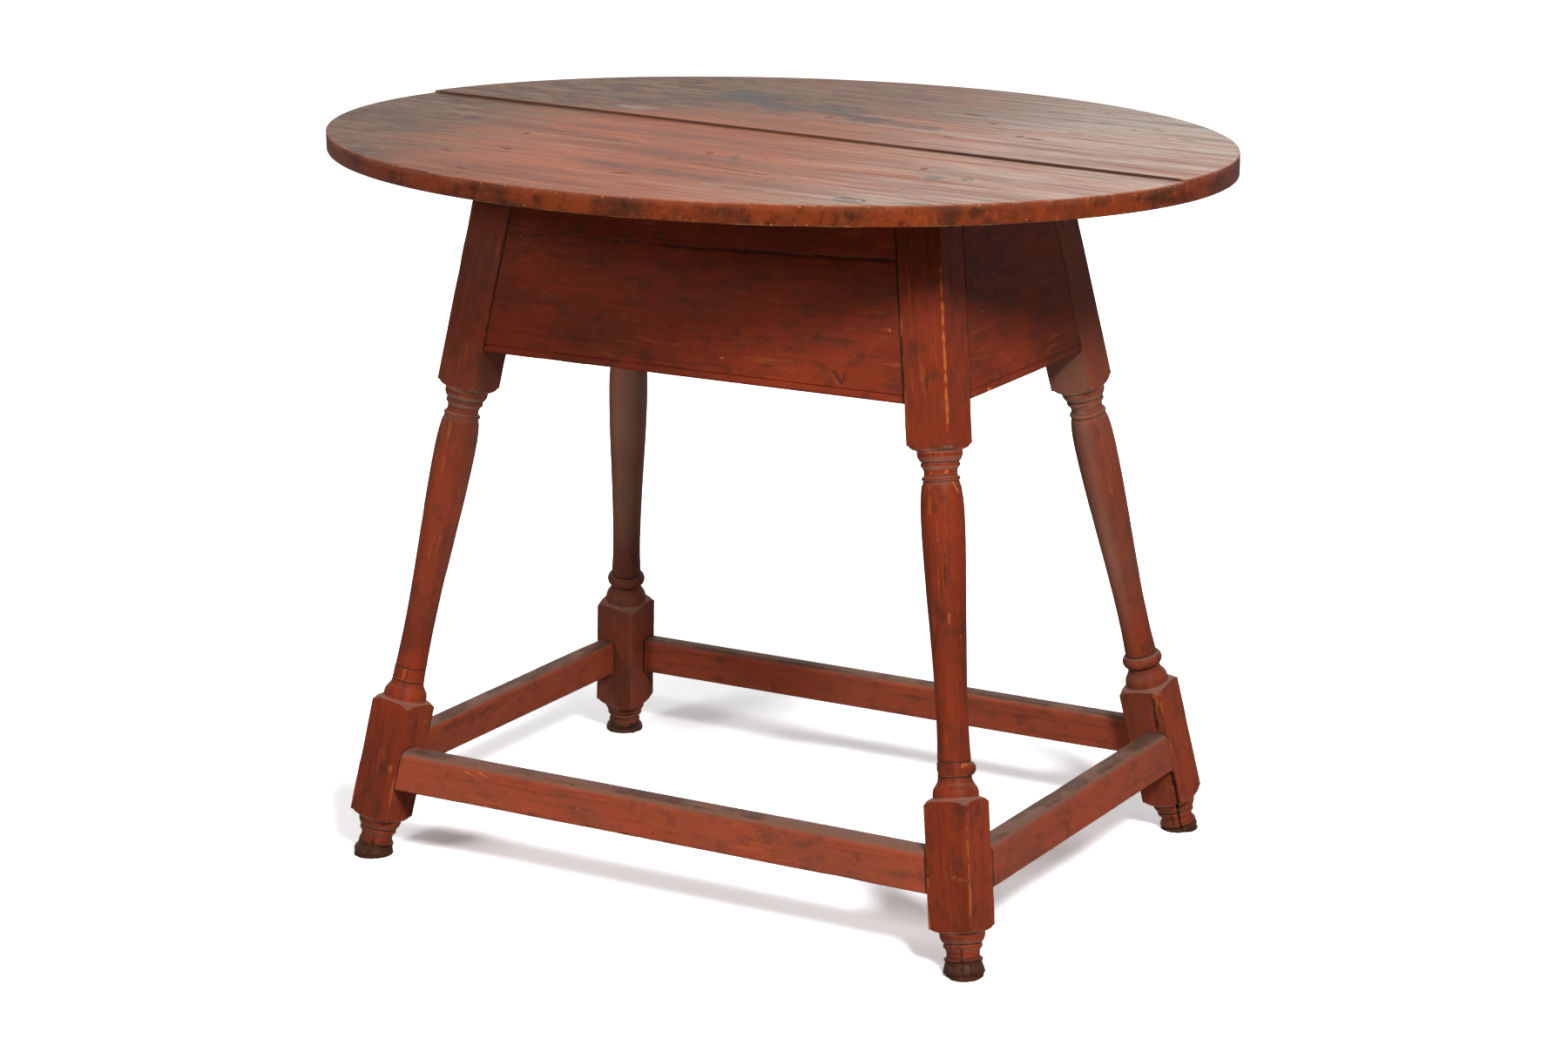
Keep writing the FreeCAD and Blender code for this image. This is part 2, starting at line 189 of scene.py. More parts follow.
def noise(points, cell, seed):
    """Smooth random values from 0 to 1 that change over cells of the given size."""
    places = points / np.asarray(cell)
    corner = np.floor(places)
    part = places - corner
    part = part * part * (3 - 2 * part)
    corner = corner.astype(np.int64)
    total = np.zeros(len(points))
    for step in np.ndindex(2, 2, 2):
        weight = np.prod(np.where(step, part, 1 - part), axis=1)
        total += weight * lattice(corner + np.array(step), seed)
    return total


def layered_noise(points, cell, seed):
    """Noise with finer and fainter noise laid over it."""
    cell = np.asarray(cell, float)
    layers = enumerate(LAYER_WEIGHTS)
    total = sum(weight * noise(points, cell * weight, seed + layer) for layer, weight in layers)
    return total / sum(LAYER_WEIGHTS)


def rise(values, low, high):
    """0 up to low, 1 from high on, and a smooth rise between."""
    part = np.clip((values - low) / (high - low), 0, 1)
    return part * part * (3 - 2 * part)


def band(values, low, high, soft):
    """1 between low and high, fading out over the soft length beyond each."""
    return rise(values, low - soft, low) * (1 - rise(values, high, high + soft))


def off_line(points, start, end):
    """Distance of flat points from a line between two places, and how far along it they lie."""
    start, end = np.asarray(start), np.asarray(end)
    run = end - start
    along = np.clip((points - start) @ run / max(run @ run, WELD ** 2), 0, 1)
    return np.linalg.norm(points - start - along[:, None] * run, axis=1), along


Scar = namedtuple("Scar", "start end width depth bare")
THROUGH_PAINT = 0.84
LONG_SCAR = 25 * MM


def scarred(points, scars, unit, seed):
    """How deep scars cut at flat points, how bare they leave the wood and how dark they are."""
    sink, bare, dark = np.zeros((3, len(points)))
    level = np.column_stack([points, np.zeros(len(points))])
    ragged = noise(level, 3 * MM, seed) - 0.5
    broken = rise(noise(level, 5 * MM, seed + 1), 0.2, 0.6)
    for scar in scars:
        start, end = np.array(scar.start) * unit, np.array(scar.end) * unit
        gap = off_line(points, start, end)[0]
        width = scar.width * MM
        within = 1 - rise(gap + 0.7 * width * ragged, 0.45 * width, width)
        rubbed = within if scar.bare > THROUGH_PAINT else 0.85 * np.exp(-(gap / (1.5 * width)) ** 2)
        if np.linalg.norm(end - start) > LONG_SCAR:
            rubbed = rubbed * (0.5 + 0.5 * broken)
        sink = np.maximum(sink, scar.depth * MM * within)
        bare = np.maximum(bare, scar.bare * rubbed)
        dark = np.maximum(dark, -scar.bare * within)
    return sink, bare, dark


Surface = namedtuple("Surface", "dent_cell dent_range dent_depth stroke_cell stroke_depth patch_cell")
LEG_SURFACE = Surface(
    dent_cell=(0.012, 0.012, 0.03), dent_range=(0.55, 0.8), dent_depth=0.25 * MM,
    stroke_cell=(0.007, 0.007, 0.12), stroke_depth=0.15 * MM, patch_cell=(0.025, 0.025, 0.06),
)
RAIL_SURFACE = Surface(
    dent_cell=(0.02, 0.02, 0.05), dent_range=(0.58, 0.85), dent_depth=0.4 * MM,
    stroke_cell=(0.009, 0.009, 0.3), stroke_depth=0.2 * MM, patch_cell=(0.03, 0.03, 0.05),
)


def hand_worked(local, surface, seed):
    """How far dents and the strokes of tools lie below a surface."""
    dents = rise(layered_noise(local, surface.dent_cell, seed), *surface.dent_range)
    strokes = layered_noise(local, surface.stroke_cell, seed + 5)
    return surface.dent_depth * dents + surface.stroke_depth * strokes


# Meshes

def vertex_places(mesh):
    """The places of a mesh's vertices as rows."""
    places = np.empty(len(mesh.vertices) * 3)
    mesh.vertices.foreach_get("co", places)
    return places.reshape(-1, 3)


def vertex_normals(mesh):
    """The directions in which a mesh's vertices face."""
    normals = np.empty(len(mesh.vertices) * 3, np.float32)
    mesh.vertex_normals.foreach_get("vector", normals)
    return normals.reshape(-1, 3).astype(float)


def set_vertex_places(mesh, places):
    """Moves a mesh's vertices."""
    mesh.vertices.foreach_set("co", np.ascontiguousarray(places).ravel())
    mesh.update()


class Neighbours:
    """Averages values over the vertices that share an edge."""

    def __init__(self, mesh):
        pairs = np.empty(len(mesh.edges) * 2, np.int64)
        mesh.edges.foreach_get("vertices", pairs)
        pairs = pairs.reshape(-1, 2)
        self.from_vertex = np.concatenate([pairs[:, 0], pairs[:, 1]])
        self.to_vertex = np.concatenate([pairs[:, 1], pairs[:, 0]])
        self.count = len(mesh.vertices)
        self.ties = np.maximum(np.bincount(self.to_vertex, minlength=self.count), 1)

    def mean(self, values):
        """The mean of each vertex's neighbours."""
        columns = values.reshape(self.count, -1)
        sums = [
            np.bincount(self.to_vertex, column[self.from_vertex], self.count) for column in columns.T
        ]
        return (np.stack(sums, axis=1) / self.ties[:, None]).reshape(values.shape)


def bends(mesh):
    """How sharply each vertex stands out, above zero, or lies in a dip, below zero."""
    neighbours = Neighbours(mesh)
    places = vertex_places(mesh)
    pull = places - neighbours.mean(places)
    spread = np.linalg.norm(places[neighbours.from_vertex] - places[neighbours.to_vertex], axis=1)
    reach = np.bincount(neighbours.to_vertex, spread, neighbours.count) / neighbours.ties
    bend = np.sum(pull * vertex_normals(mesh), axis=1) / np.maximum(reach, WELD)
    return bend + 0.5 * (neighbours.mean(bend) - bend)


def keep_values(mesh, **values):
    """Stores values of the vertices under names that the finishes read."""
    for name, value in values.items():
        if value.ndim == 1:
            mesh.attributes.new(name, "FLOAT", "POINT").data.foreach_set("value", value)
        else:
            vectors = mesh.attributes.new(name, "FLOAT_VECTOR", "POINT")
            vectors.data.foreach_set("vector", np.ascontiguousarray(value).ravel())


def add_piece(name, mesh, finish, slot, *nodes):
    """Puts a mesh in the scene as a piece that stands for solids of the frame."""
    mesh.shade_smooth()
    mesh.materials.clear()
    mesh.materials.append(finish)
    piece = bpy.data.objects.new(name, mesh)
    bpy.context.scene.collection.objects.link(piece)
    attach(piece, BODY)
    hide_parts(*nodes)


def face_outwards(mesh):
    """Turns all faces of a closed mesh to the outside."""
    shape = bmesh.new()
    shape.from_mesh(mesh)
    bmesh.ops.recalc_face_normals(shape, faces=shape.faces)
    shape.to_mesh(mesh)
    shape.free()


# Finishes

class NodeTree:
    """The nodes of a material or of the world, laid one by one."""

    def __init__(self, owner):
        owner.use_nodes = True
        self.nodes = owner.node_tree.nodes
        self.links = owner.node_tree.links

    def node(self, kind, inputs, output=0, **settings):
        """Adds a node, sets or links its inputs and returns one of its outputs."""
        node = self.nodes.new(kind)
        for name, value in settings.items():
            setattr(node, name, value)
        for name, value in inputs.items():
            self.feed(node.inputs[name], value)
        return node.outputs[output]

    def feed(self, socket, value):
        """Links a socket to an output, or sets its value."""
        if isinstance(value, bpy.types.NodeSocket):
            self.links.new(value, socket)
        else:
            socket.default_value = value

    def maths(self, operation, first, second):
        """One sum of two values."""
        return self.node("ShaderNodeMath", {0: first, 1: second}, operation=operation)


class Finish(NodeTree):
    """A procedural material that reads the values kept with a mesh."""

    def __init__(self, name):
        self.material = bpy.data.materials.new(name)
        super().__init__(self.material)
        self.shader = self.nodes["Principled BSDF"]

    def stored(self, name, output="Fac"):
        """Values kept with the mesh."""
        return self.node("ShaderNodeAttribute", {}, output, attribute_name=name)

    def stretched(self, scale, turn=(0.0, 0.0, 0.0)):
        """Places along and across the grain, scaled each way and turned."""
        grain = self.stored("grain", "Vector")
        return self.node(
            "ShaderNodeMapping", {"Vector": grain, "Scale": scale, "Rotation": turn}, vector_type="POINT"
        )

    def noise(self, scale, detail=4.0, roughness=0.55, distortion=0.0, turn=(0.0, 0.0, 0.0)):
        """Noise with as many cells to a metre, each way, as the scale says."""
        vector = self.stretched(scale, turn)
        inputs = {"Vector": vector, "Scale": 1.0, "Detail": detail, "Roughness": roughness}
        return self.node("ShaderNodeTexNoise", {**inputs, "Distortion": distortion})

    def rise(self, value, low, high):
        """0 up to low, 1 from high on, and a smooth rise between."""
        inputs = {"Value": value, "From Min": low, "From Max": high}
        return self.node("ShaderNodeMapRange", inputs, interpolation_type="SMOOTHSTEP")

    def spread(self, value, low, high):
        """A value from 0 to 1, spread between two numbers."""
        inputs = {"Value": value, "To Min": low, "To Max": high}
        return self.node("ShaderNodeMapRange", inputs)

    def times(self, *values):
        """All values multiplied."""
        total = values[0]
        for value in values[1:]:
            total = self.maths("MULTIPLY", total, value)
        return total

    def plus(self, *values):
        """All values added."""
        total = values[0]
        for value in values[1:]:
            total = self.maths("ADD", total, value)
        return total

    def over(self, share, below, above):
        """One colour laid over another."""
        node = self.nodes.new("ShaderNodeMix")
        node.data_type = "RGBA"
        self.feed(node.inputs["Factor"], share)
        for name, colour in (("A", below), ("B", above)):
            socket = next(each for each in node.inputs if each.name == name and each.type == "RGBA")
            self.feed(socket, colour if isinstance(colour, bpy.types.NodeSocket) else (*colour, 1.0))
        return next(each for each in node.outputs if each.type == "RGBA")

    def coat(self, colour, tint, where, share):
        """A colour with a thin coat of another, laid where a value says."""
        return self.over(self.times(where, share), colour, tint)

    def specks(self, per_metre, size, chance):
        """Small round spots, strewn at random."""
        inputs = {"Vector": self.stretched((per_metre,) * 3), "Scale": 1.0}
        distance = self.node("ShaderNodeTexVoronoi", inputs, "Distance")
        near = self.maths("LESS_THAN", distance, size)
        picked = self.node("ShaderNodeSeparateColor", {"Color": distance.node.outputs["Color"]})
        return self.times(near, self.maths("LESS_THAN", picked, chance))

    def finish(self, colour, roughness, height, depth, gloss):
        """Ties colour, roughness and relief to the shader."""
        self.feed(self.shader.inputs["Base Color"], colour)
        self.feed(self.shader.inputs["Roughness"], roughness)
        self.feed(self.shader.inputs["Specular IOR Level"], gloss)
        bump = self.node("ShaderNodeBump", {"Height": height, "Distance": depth, "Strength": 1.0})
        self.feed(self.shader.inputs["Normal"], bump)
        return self.material


FRAME_FINISH = "old_red_paint"
FRAME_RELIEF = 0.3 * MM
FRAME_GLOSS = 0.06
TOP_RELIEF = 0.5 * MM
TOP_GLOSS = 0.18
PIN_RELIEF = 0.2 * MM
PIN_GLOSS = 0.3
PIN_RINGS = 500.0


def shaded(colour, factor):
    """A colour made lighter or darker."""
    return [factor * shade for shade in colour]


def frame_finish(look):
    """Old red paint, rubbed through on edges and grimy in hollows, with painted shade on the legs' front
    faces, painted light on their lower right faces and painted sheen under their mouldings.
    """
    make = Finish(FRAME_FINISH)
    worn, hollow, bare, soot = (make.stored(name) for name in ("worn", "hollow", "bare", "soot"))
    clouds = make.noise((11, 11, 8), detail=5)
    haze = make.noise((17, 17, 12), detail=4, turn=(0.3, 0.2, 0.0))
    streaks = make.noise((210, 210, 9), detail=6, roughness=0.6)
    fine = make.noise((420, 420, 160), detail=3)
    crumbs = make.noise((170, 170, 120), detail=6, roughness=0.7)
    mottle = make.noise((80, 80, 45), detail=7, roughness=0.7)
    colour = make.over(make.rise(clouds, 0.32, 0.66), look.deep_paint, look.red_paint)
    # Brighter paint on the stretchers, and painted light on the legs' lower right-facing faces.
    fresh_and_lit_share = make.times(make.stored("fresh"), make.spread(clouds, 0.6, 1.3))
    colour = make.over(fresh_and_lit_share, colour, look.fresh_paint)
    colour = make.coat(colour, shaded(look.red_paint, 1.25), make.rise(streaks, 0.5, 0.8), 0.3)
    colour = make.coat(colour, shaded(look.deep_paint, 0.6), make.rise(streaks, 0.5, 0.3), 0.4)
    colour = make.coat(colour, look.grime, make.rise(haze, 0.48, 0.75), 0.3)
    colour = make.coat(colour, look.grime, make.rise(mottle, 0.48, 0.68), 0.55)
    streaky = make.times(
        make.rise(make.noise((270, 270, 30), detail=5, roughness=0.6), 0.52, 0.72),
        make.rise(make.noise((34, 34, 14), detail=4), 0.45, 0.65),
    )
    colour = make.coat(colour, look.rubbed_paint, streaky, 0.4)
    # Haze colour laid as painted sheen and a paler painted cast on the legs, and as a faint dusty coat on
    # the stretchers.
    sheen_and_film_share = make.times(make.stored("film"), make.spread(haze, 0.5, 1.5))
    colour = make.over(sheen_and_film_share, colour, look.haze)
    rubbed = make.rise(make.plus(worn, make.times(crumbs, 0.9)), 0.88, 1.14)
    ragged = make.plus(make.times(crumbs, 0.35), make.times(streaks, 0.35))
    chipped = make.rise(make.plus(bare, ragged), 0.76, 1.12)
    wood = make.over(make.rise(bare, 0.86, 1.05), look.rubbed_paint, look.bare_wood)
    wood = make.coat(wood, look.rubbed_paint, fine, 0.6)
    colour = make.coat(colour, look.rubbed_paint, rubbed, 0.5)
    colour = make.coat(colour, wood, chipped, 0.8)
    scratches = make.times(
        make.rise(make.noise((900, 900, 26), detail=2, distortion=0.3), 0.7, 0.78),
        make.rise(make.noise((40, 40, 14), detail=3), 0.52, 0.68),
    )
    colour = make.coat(colour, look.rubbed_paint, scratches, 0.35)
    dusty = make.rise(make.plus(soot, make.times(crumbs, 0.45)), 0.45, 1.1)
    colour = make.coat(colour, look.dust, dusty, 0.8)
    # Grime in hollows and joints, with painted shade on the legs' front-facing faces.
    dirt_and_shade = make.rise(make.plus(hollow, make.times(crumbs, 0.5)), 0.45, 1.05)
    colour = make.coat(colour, look.grime, dirt_and_shade, 0.86)
    pits = make.specks(120, 0.1, 0.05)
    colour = make.coat(colour, shaded(look.grime, 0.2), pits, 0.75)
    colour = make.coat(colour, look.bare_wood, make.specks(130, 0.07, 0.015), 0.6)
    rough = make.spread(make.plus(make.times(clouds, 0.5), make.times(dusty, 0.5)), 0.38, 0.62)
    heights = ((streaks, 0.2), (fine, 0.2), (scratches, -0.4), (pits, -1.5))
    relief = make.plus(*(make.times(*height) for height in heights))
    return make.finish(colour, rough, relief, FRAME_RELIEF, FRAME_GLOSS)


def top_finish(look):
    """Faded rose paint with grey bloom along the grain, stained and cracked, with a painted sheen at the
    right end and painted shade along the seam; a browned rim.
    """
    make = Finish("faded_top_paint")
    rim, lip, worn, bare, crack = (make.stored(name) for name in ("rim", "lip", "worn", "bare", "crack"))
    stain, bloom, pale = (make.stored(name) for name in ("stain", "bloom", "pale"))
    olive, orange = (make.stored(name) for name in ("olive", "orange"))
    broad = make.noise((4, 28, 28), detail=4)
    bands = make.noise((5, 90, 90), detail=6, roughness=0.62)
    grain = make.noise((10, 270, 270), detail=6, roughness=0.66)
    fibres = make.noise((30, 850, 850), detail=4, roughness=0.6)
    crumbs = make.noise((110, 190, 190), detail=6, roughness=0.72)
    mottle = make.noise((26, 70, 70), detail=7, roughness=0.68)
    dull = shaded(look.deep_paint, 0.6)
    colour = make.over(make.rise(broad, 0.3, 0.68), look.deep_paint, look.rose_paint)
    colour = make.coat(colour, shaded(look.rose_paint, 1.35), make.rise(bands, 0.5, 0.7), 0.5)
    colour = make.coat(colour, look.deep_paint, make.rise(bands, 0.48, 0.3), 0.5)
    colour = make.coat(colour, look.orange, make.times(orange, make.rise(mottle, 0.4, 0.62)), 0.9)
    patches = make.plus(make.times(bands, 0.9), mottle, make.times(crumbs, 0.7))
    greyed = make.rise(make.plus(bloom, patches), 1.38, 1.98)
    weathered = make.over(make.rise(mottle, 0.55, 0.42), look.bloom, look.dark_bloom)
    colour = make.coat(colour, weathered, greyed, 0.92)
    yellowed = make.times(olive, make.rise(make.plus(mottle, make.times(crumbs, 0.5)), 0.6, 0.85))
    colour = make.coat(colour, look.olive, yellowed, 0.8)
    # Painted sheen along the grain at the right end of the top, and a few pale patches.
    painted_sheen = make.times(pale, make.rise(make.plus(bands, make.times(fibres, 0.35)), 0.44, 0.84))
    colour = make.coat(colour, look.pale_sheen_and_bloom, painted_sheen, 0.85)
    broken = make.plus(make.times(mottle, 1.4), grain, make.times(crumbs, 0.8))
    marked = make.times(make.rise(make.plus(stain, broken), 1.8, 2.5), make.rise(stain, 0.05, 0.3))
    colour = make.coat(colour, look.stain, marked, 0.86)
    colour = make.coat(colour, dull, make.rise(grain, 0.5, 0.33), 0.6)
    colour = make.coat(colour, dull, make.rise(fibres, 0.48, 0.34), 0.4)
    colour = make.coat(colour, look.dark_bloom, make.rise(crumbs, 0.52, 0.7), 0.3)
    colour = make.coat(colour, look.pale_sheen_and_bloom, make.rise(fibres, 0.56, 0.7), 0.22)
    furrows = make.noise((3.5, 120, 120), detail=3, turn=(0.0, 0.0, 0.02))
    colour = make.coat(colour, dull, make.rise(furrows, 0.6, 0.65), 0.55)
    # Painted sheen on the grain's crests, strongest where the right end shines.
    crests = make.noise((4, 100, 100), detail=3, turn=(0.0, 0.0, -0.03))
    crest_sheen_share = make.spread(pale, 0.12, 0.45)
    colour = make.coat(colour, look.pale_sheen_and_bloom, make.rise(crests, 0.6, 0.65), crest_sheen_share)
    clouds = make.noise((22, 22, 35), detail=6, roughness=0.62)
    blotches = make.noise((90, 90, 70), detail=6, roughness=0.66)
    side = make.over(make.rise(clouds, 0.38, 0.6), look.rim_dark, look.rim_brown)
    side = make.coat(side, shaded(look.rim_brown, 1.6), make.rise(blotches, 0.54, 0.7), 0.6)
    side = make.coat(side, shaded(look.rim_dark, 0.45), make.rise(blotches, 0.47, 0.3), 0.75)
    colour = make.over(rim, colour, side)
    flecks = make.noise((190, 190, 190), detail=4, roughness=0.6)
    flecked = make.rise(make.plus(flecks, make.times(lip, 0.12)), 0.73, 0.79)
    opened = make.plus(make.maths("MAXIMUM", worn, bare), make.times(crumbs, 0.6))
    chipped = make.maths("MAXIMUM", make.rise(opened, 0.78, 1.05), make.times(flecked, rim, 0.85))
    wood = make.over(fibres, look.bare_wood, shaded(look.bare_wood, 0.6))
    colour = make.coat(colour, wood, chipped, 0.9)
    # Dark splits, scars and dents, and painted shade in the seam and on its faces.
    colour = make.coat(colour, shaded(look.dark_bloom, 0.4), crack, 0.92)
    rough = make.spread(make.plus(make.times(grain, 0.6), make.times(broad, 0.4)), 0.42, 0.66)
    rough = make.maths("SUBTRACT", rough, make.times(rim, 0.22))
    facing = make.node("ShaderNodeLayerWeight", {"Blend": 0.5}, "Facing")
    rim_gloss = make.spread(make.times(facing, facing), 0.06, 0.6)
    gloss = make.plus(make.times(rim, rim_gloss), make.spread(rim, TOP_GLOSS, 0.0))
    relief = make.plus(make.times(grain, 0.6), make.times(fibres, 0.25), make.times(bands, 0.6))
    return make.finish(colour, rough, relief, TOP_RELIEF, gloss)


def pin_finish(look):
    """End grain of the top's pins under thin paint."""
    make = Finish("painted_end_grain")
    place = make.node("ShaderNodeTexCoord", {}, "Object")
    rings = make.node("ShaderNodeTexNoise", {"Vector": place, "Scale": PIN_RINGS, "Detail": 4.0})
    colour = make.over(rings, look.deep_paint, look.grime)
    return make.finish(colour, make.spread(rings, 0.5, 0.75), rings, PIN_RELIEF, PIN_GLOSS)


# Top boards

class Oval:
    """The outline of the top and the seam that divides it."""

    def __init__(self, look):
        self.half_length = (CAD_HIGH.x - CAD_LOW.x) / 2
        self.half_width = (CAD_HIGH.y - CAD_LOW.y) / 2
        left_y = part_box("top_front_board")[1].y
        right_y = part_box("top_back_board")[0].y
        left = np.array([-self.half_length * math.sqrt(1 - (left_y / self.half_width) ** 2), left_y])
        right = np.array([self.half_length * math.sqrt(1 - (right_y / self.half_width) ** 2), right_y])
        run = right - left
        angle = math.atan2(run[1], run[0]) - look.seam_gap / np.linalg.norm(run)
        self.along = np.array([math.cos(angle), math.sin(angle)])
        self.across = np.array([-math.sin(angle), math.cos(angle)])
        self.seam = {-1: left @ self.across, 1: right @ self.across}

    def reach(self, inset):
        """How far the oval, drawn in by the inset, reaches across the grain."""
        axes = np.array([self.half_length - inset, self.half_width - inset])
        return np.linalg.norm(axes * self.across)

    def chord(self, across, inset):
        """Both ends, along the grain, of lines through the oval drawn in by the inset."""
        axes = np.array([self.half_length - inset, self.half_width - inset])
        along, over = self.along / axes, self.across / axes
        middle = -across * (along @ over) / (along @ along)
        beyond = (across ** 2 * (over @ over) - 1) / (along @ along)
        half = np.sqrt(np.maximum(middle ** 2 - beyond, 0))
        return middle - half, middle + half

    def flat(self, along, across):
        """Places in the table's plane."""
        return along[:, None] * self.along + across[:, None] * self.across

    def grain(self, flat):
        """Distances along and across the grain."""
        return flat @ self.along, flat @ self.across

    def rim_normal(self, flat):
        """Directions out of the rim."""
        normal = flat / np.array([self.half_length ** 2, self.half_width ** 2])
        return normal / np.linalg.norm(normal, axis=1)[:, None]


BoardGrid = namedtuple("BoardGrid", "rows columns under_columns")
GRID = BoardGrid(rows=250, columns=272, under_columns=8)
ROW_ANGLE = math.asin(0.9995)
ROUND_STEPS = 4
EDGE_MIDDLE_SHARES = (0.38, 0.62)


def edge_profile(thickness, upper, lower):
    """Distances out of and down from the inner edge of the top face, round the board's edge."""
    turns = np.linspace(0, math.pi / 2, ROUND_STEPS)
    outer = [(upper * math.sin(turn), upper * (1 - math.cos(turn))) for turn in turns]
    outer += [(upper, thickness * share) for share in EDGE_MIDDLE_SHARES]
    for turn in turns:
        outer.append((upper - lower * (1 - math.cos(turn)), thickness - lower * (1 - math.sin(turn))))
    return np.array(outer)


def board_mesh(name, oval, side, look):
    """One half of the top: a fine upper face, rounded edges and a plain underside."""
    low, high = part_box(name)
    thickness = high.z - low.z
    rows, columns, under = GRID
    inset = look.rim_upper_round
    seam = oval.seam[side] + side * look.seam_round
    turns = np.linspace(0, ROW_ANGLE, rows + 1)
    across = seam + (side * oval.reach(inset) - seam) * np.sin(turns)
    start, end = oval.chord(across, inset)
    shares = np.linspace(0, 1, columns + 1)
    along = start[:, None] + (end - start)[:, None] * shares
    flat = oval.flat(along.ravel(), np.repeat(across, columns + 1))
    index = np.arange((rows + 1) * (columns + 1)).reshape(rows + 1, columns + 1)
    top_faces = np.stack(
        [index[:-1, :-1], index[:-1, 1:], index[1:, 1:], index[1:, :-1]], axis=-1
    ).reshape(-1, 4)
    loop = np.concatenate([index[0, :], index[1:, -1], index[-1, -2::-1], index[-2:0:-1, 0]])
    out = oval.rim_normal(flat[loop])
    out[1:columns] = -side * oval.across
    for corner in (0, columns):
        out[corner] = out[corner] - side * oval.across
    profiles = (
        edge_profile(thickness, look.rim_upper_round, look.rim_lower_round),
        edge_profile(thickness, look.seam_round, look.seam_round),
    )
    at_seam = np.zeros(len(loop), int)
    at_seam[:columns + 1] = 1
    places = [np.column_stack([flat, np.full(len(flat), high.z)])]
    faces = top_faces.tolist()
    ring = loop
    count = len(flat)
    for step in range(1, len(profiles[0])):
        reach = np.array([profile[step, 0] for profile in profiles])[at_seam]
        drop = np.array([profile[step, 1] for profile in profiles])[at_seam]
        shifted = flat[loop] + out * reach[:, None]
        places.append(np.column_stack([shifted, high.z - drop]))
        new_ring = np.arange(count, count + len(loop))
        quads = np.stack([ring, new_ring, np.roll(new_ring, -1), np.roll(ring, -1)], axis=-1)
        faces.extend(quads.tolist())
        ring = new_ring
        count += len(loop)
    faces.extend(underside_faces(ring, count, rows, columns, under))
    inner = np.linspace(0, 1, under + 1)[1:-1]
    inner_along = start[1:-1, None] + (end - start)[1:-1, None] * inner
    inner_flat = oval.flat(inner_along.ravel(), np.repeat(across[1:-1], under - 1))
    places.append(np.column_stack([inner_flat, np.full(len(inner_flat), low.z)]))
    mesh = bpy.data.meshes.new(name)
    mesh.from_pydata(np.concatenate(places).tolist(), [], faces)
    face_outwards(mesh)
    return mesh, len(flat)


def underside_faces(ring, count, rows, columns, under):
    """Faces below a board, from the lowest ring of its edge to the points within."""
    seam_row = ring[:columns + 1]
    right = ring[columns:columns + rows + 1]
    far_row = ring[columns + rows:2 * columns + rows + 1][::-1]
    left = np.concatenate([ring[:1], ring[2 * columns + rows:][::-1], far_row[:1]])
    step = columns // under

    def vertex(row, column):
        """The vertex at a row and a column, on the ring or within it."""
        if column == 0:
            return left[row]
        if column == under:
            return right[row]
        if row == 0:
            return seam_row[column * step]
        if row == rows:
            return far_row[column * step]
        return count + (row - 1) * (under - 1) + column - 1

    faces = []
    for row in range(rows):
        for column in range(under):
            between = range(column * step + 1, (column + 1) * step)
            corners = [vertex(row, column)]
            if row == 0:
                corners += [seam_row[place] for place in between]
            corners += [vertex(row, column + 1), vertex(row + 1, column + 1)]
            if row == rows - 1:
                corners += [far_row[place] for place in reversed(between)]
            corners.append(vertex(row + 1, column))
            faces.append([int(corner) for corner in corners])
    return faces


Knot = namedtuple("Knot", "x y length width seed")
KNOTS = (
    Knot(224, -250, 21, 13, 3),
    Knot(237, -126, 12, 10, 4),
    Knot(265, -121, 9, 6, 5),
    Knot(-96, 196, 26, 14, 6),
    Knot(-300, -40, 12, 6, 7),
)
Patch = namedtuple("Patch", "start end width share")
STAINS = (
    Patch((-150, 188), (-62, 136), 36, 0.85),
    Patch((-30, 150), (46, 106), 32, 0.85),
    Patch((46, 106), (110, 90), 22, 0.65),
    Patch((-60, 252), (70, 240), 26, 0.5),
    Patch((100, 258), (240, 196), 28, 0.45),
    Patch((262, -247), (290, -236), 9, 0.6),
    Patch((-84, -184), (-40, -194), 14, 0.5),
    Patch((14, -206), (66, -216), 16, 0.5),
    Patch((-400, -40), (-310, -110), 38, 0.5),
    Patch((-380, 60), (-300, 110), 30, 0.35),
)
SMUDGES = (
    Patch((51, -149), (29, -111), 10, 0.55),
)
OLIVES = (
    Patch((-166, 200), (-90, 226), 28, 0.9),
    Patch((-40, 196), (20, 190), 20, 0.7),
    Patch((318, -190), (356, -158), 14, 0.7),
    Patch((-330, 20), (-250, 10), 30, 0.4),
)
ORANGES = (
    Patch((-156, 52), (-126, 43), 11, 0.9),
    Patch((-256, 186), (-230, 176), 12, 0.8),
    Patch((-60, 70), (10, 52), 9, 0.6),
    Patch((-6, 150), (60, 122), 11, 0.9),
    Patch((262, -121), (272, -122), 7, 0.9),
    Patch((150, 52), (190, 44), 9, 0.6),
    Patch((196, 130), (230, 118), 8, 0.6),
)
PALES = (
    Patch((78, -240), (97, -244), 5, 0.8),
    Patch((-208, 78), (-180, 72), 16, 0.45),
)
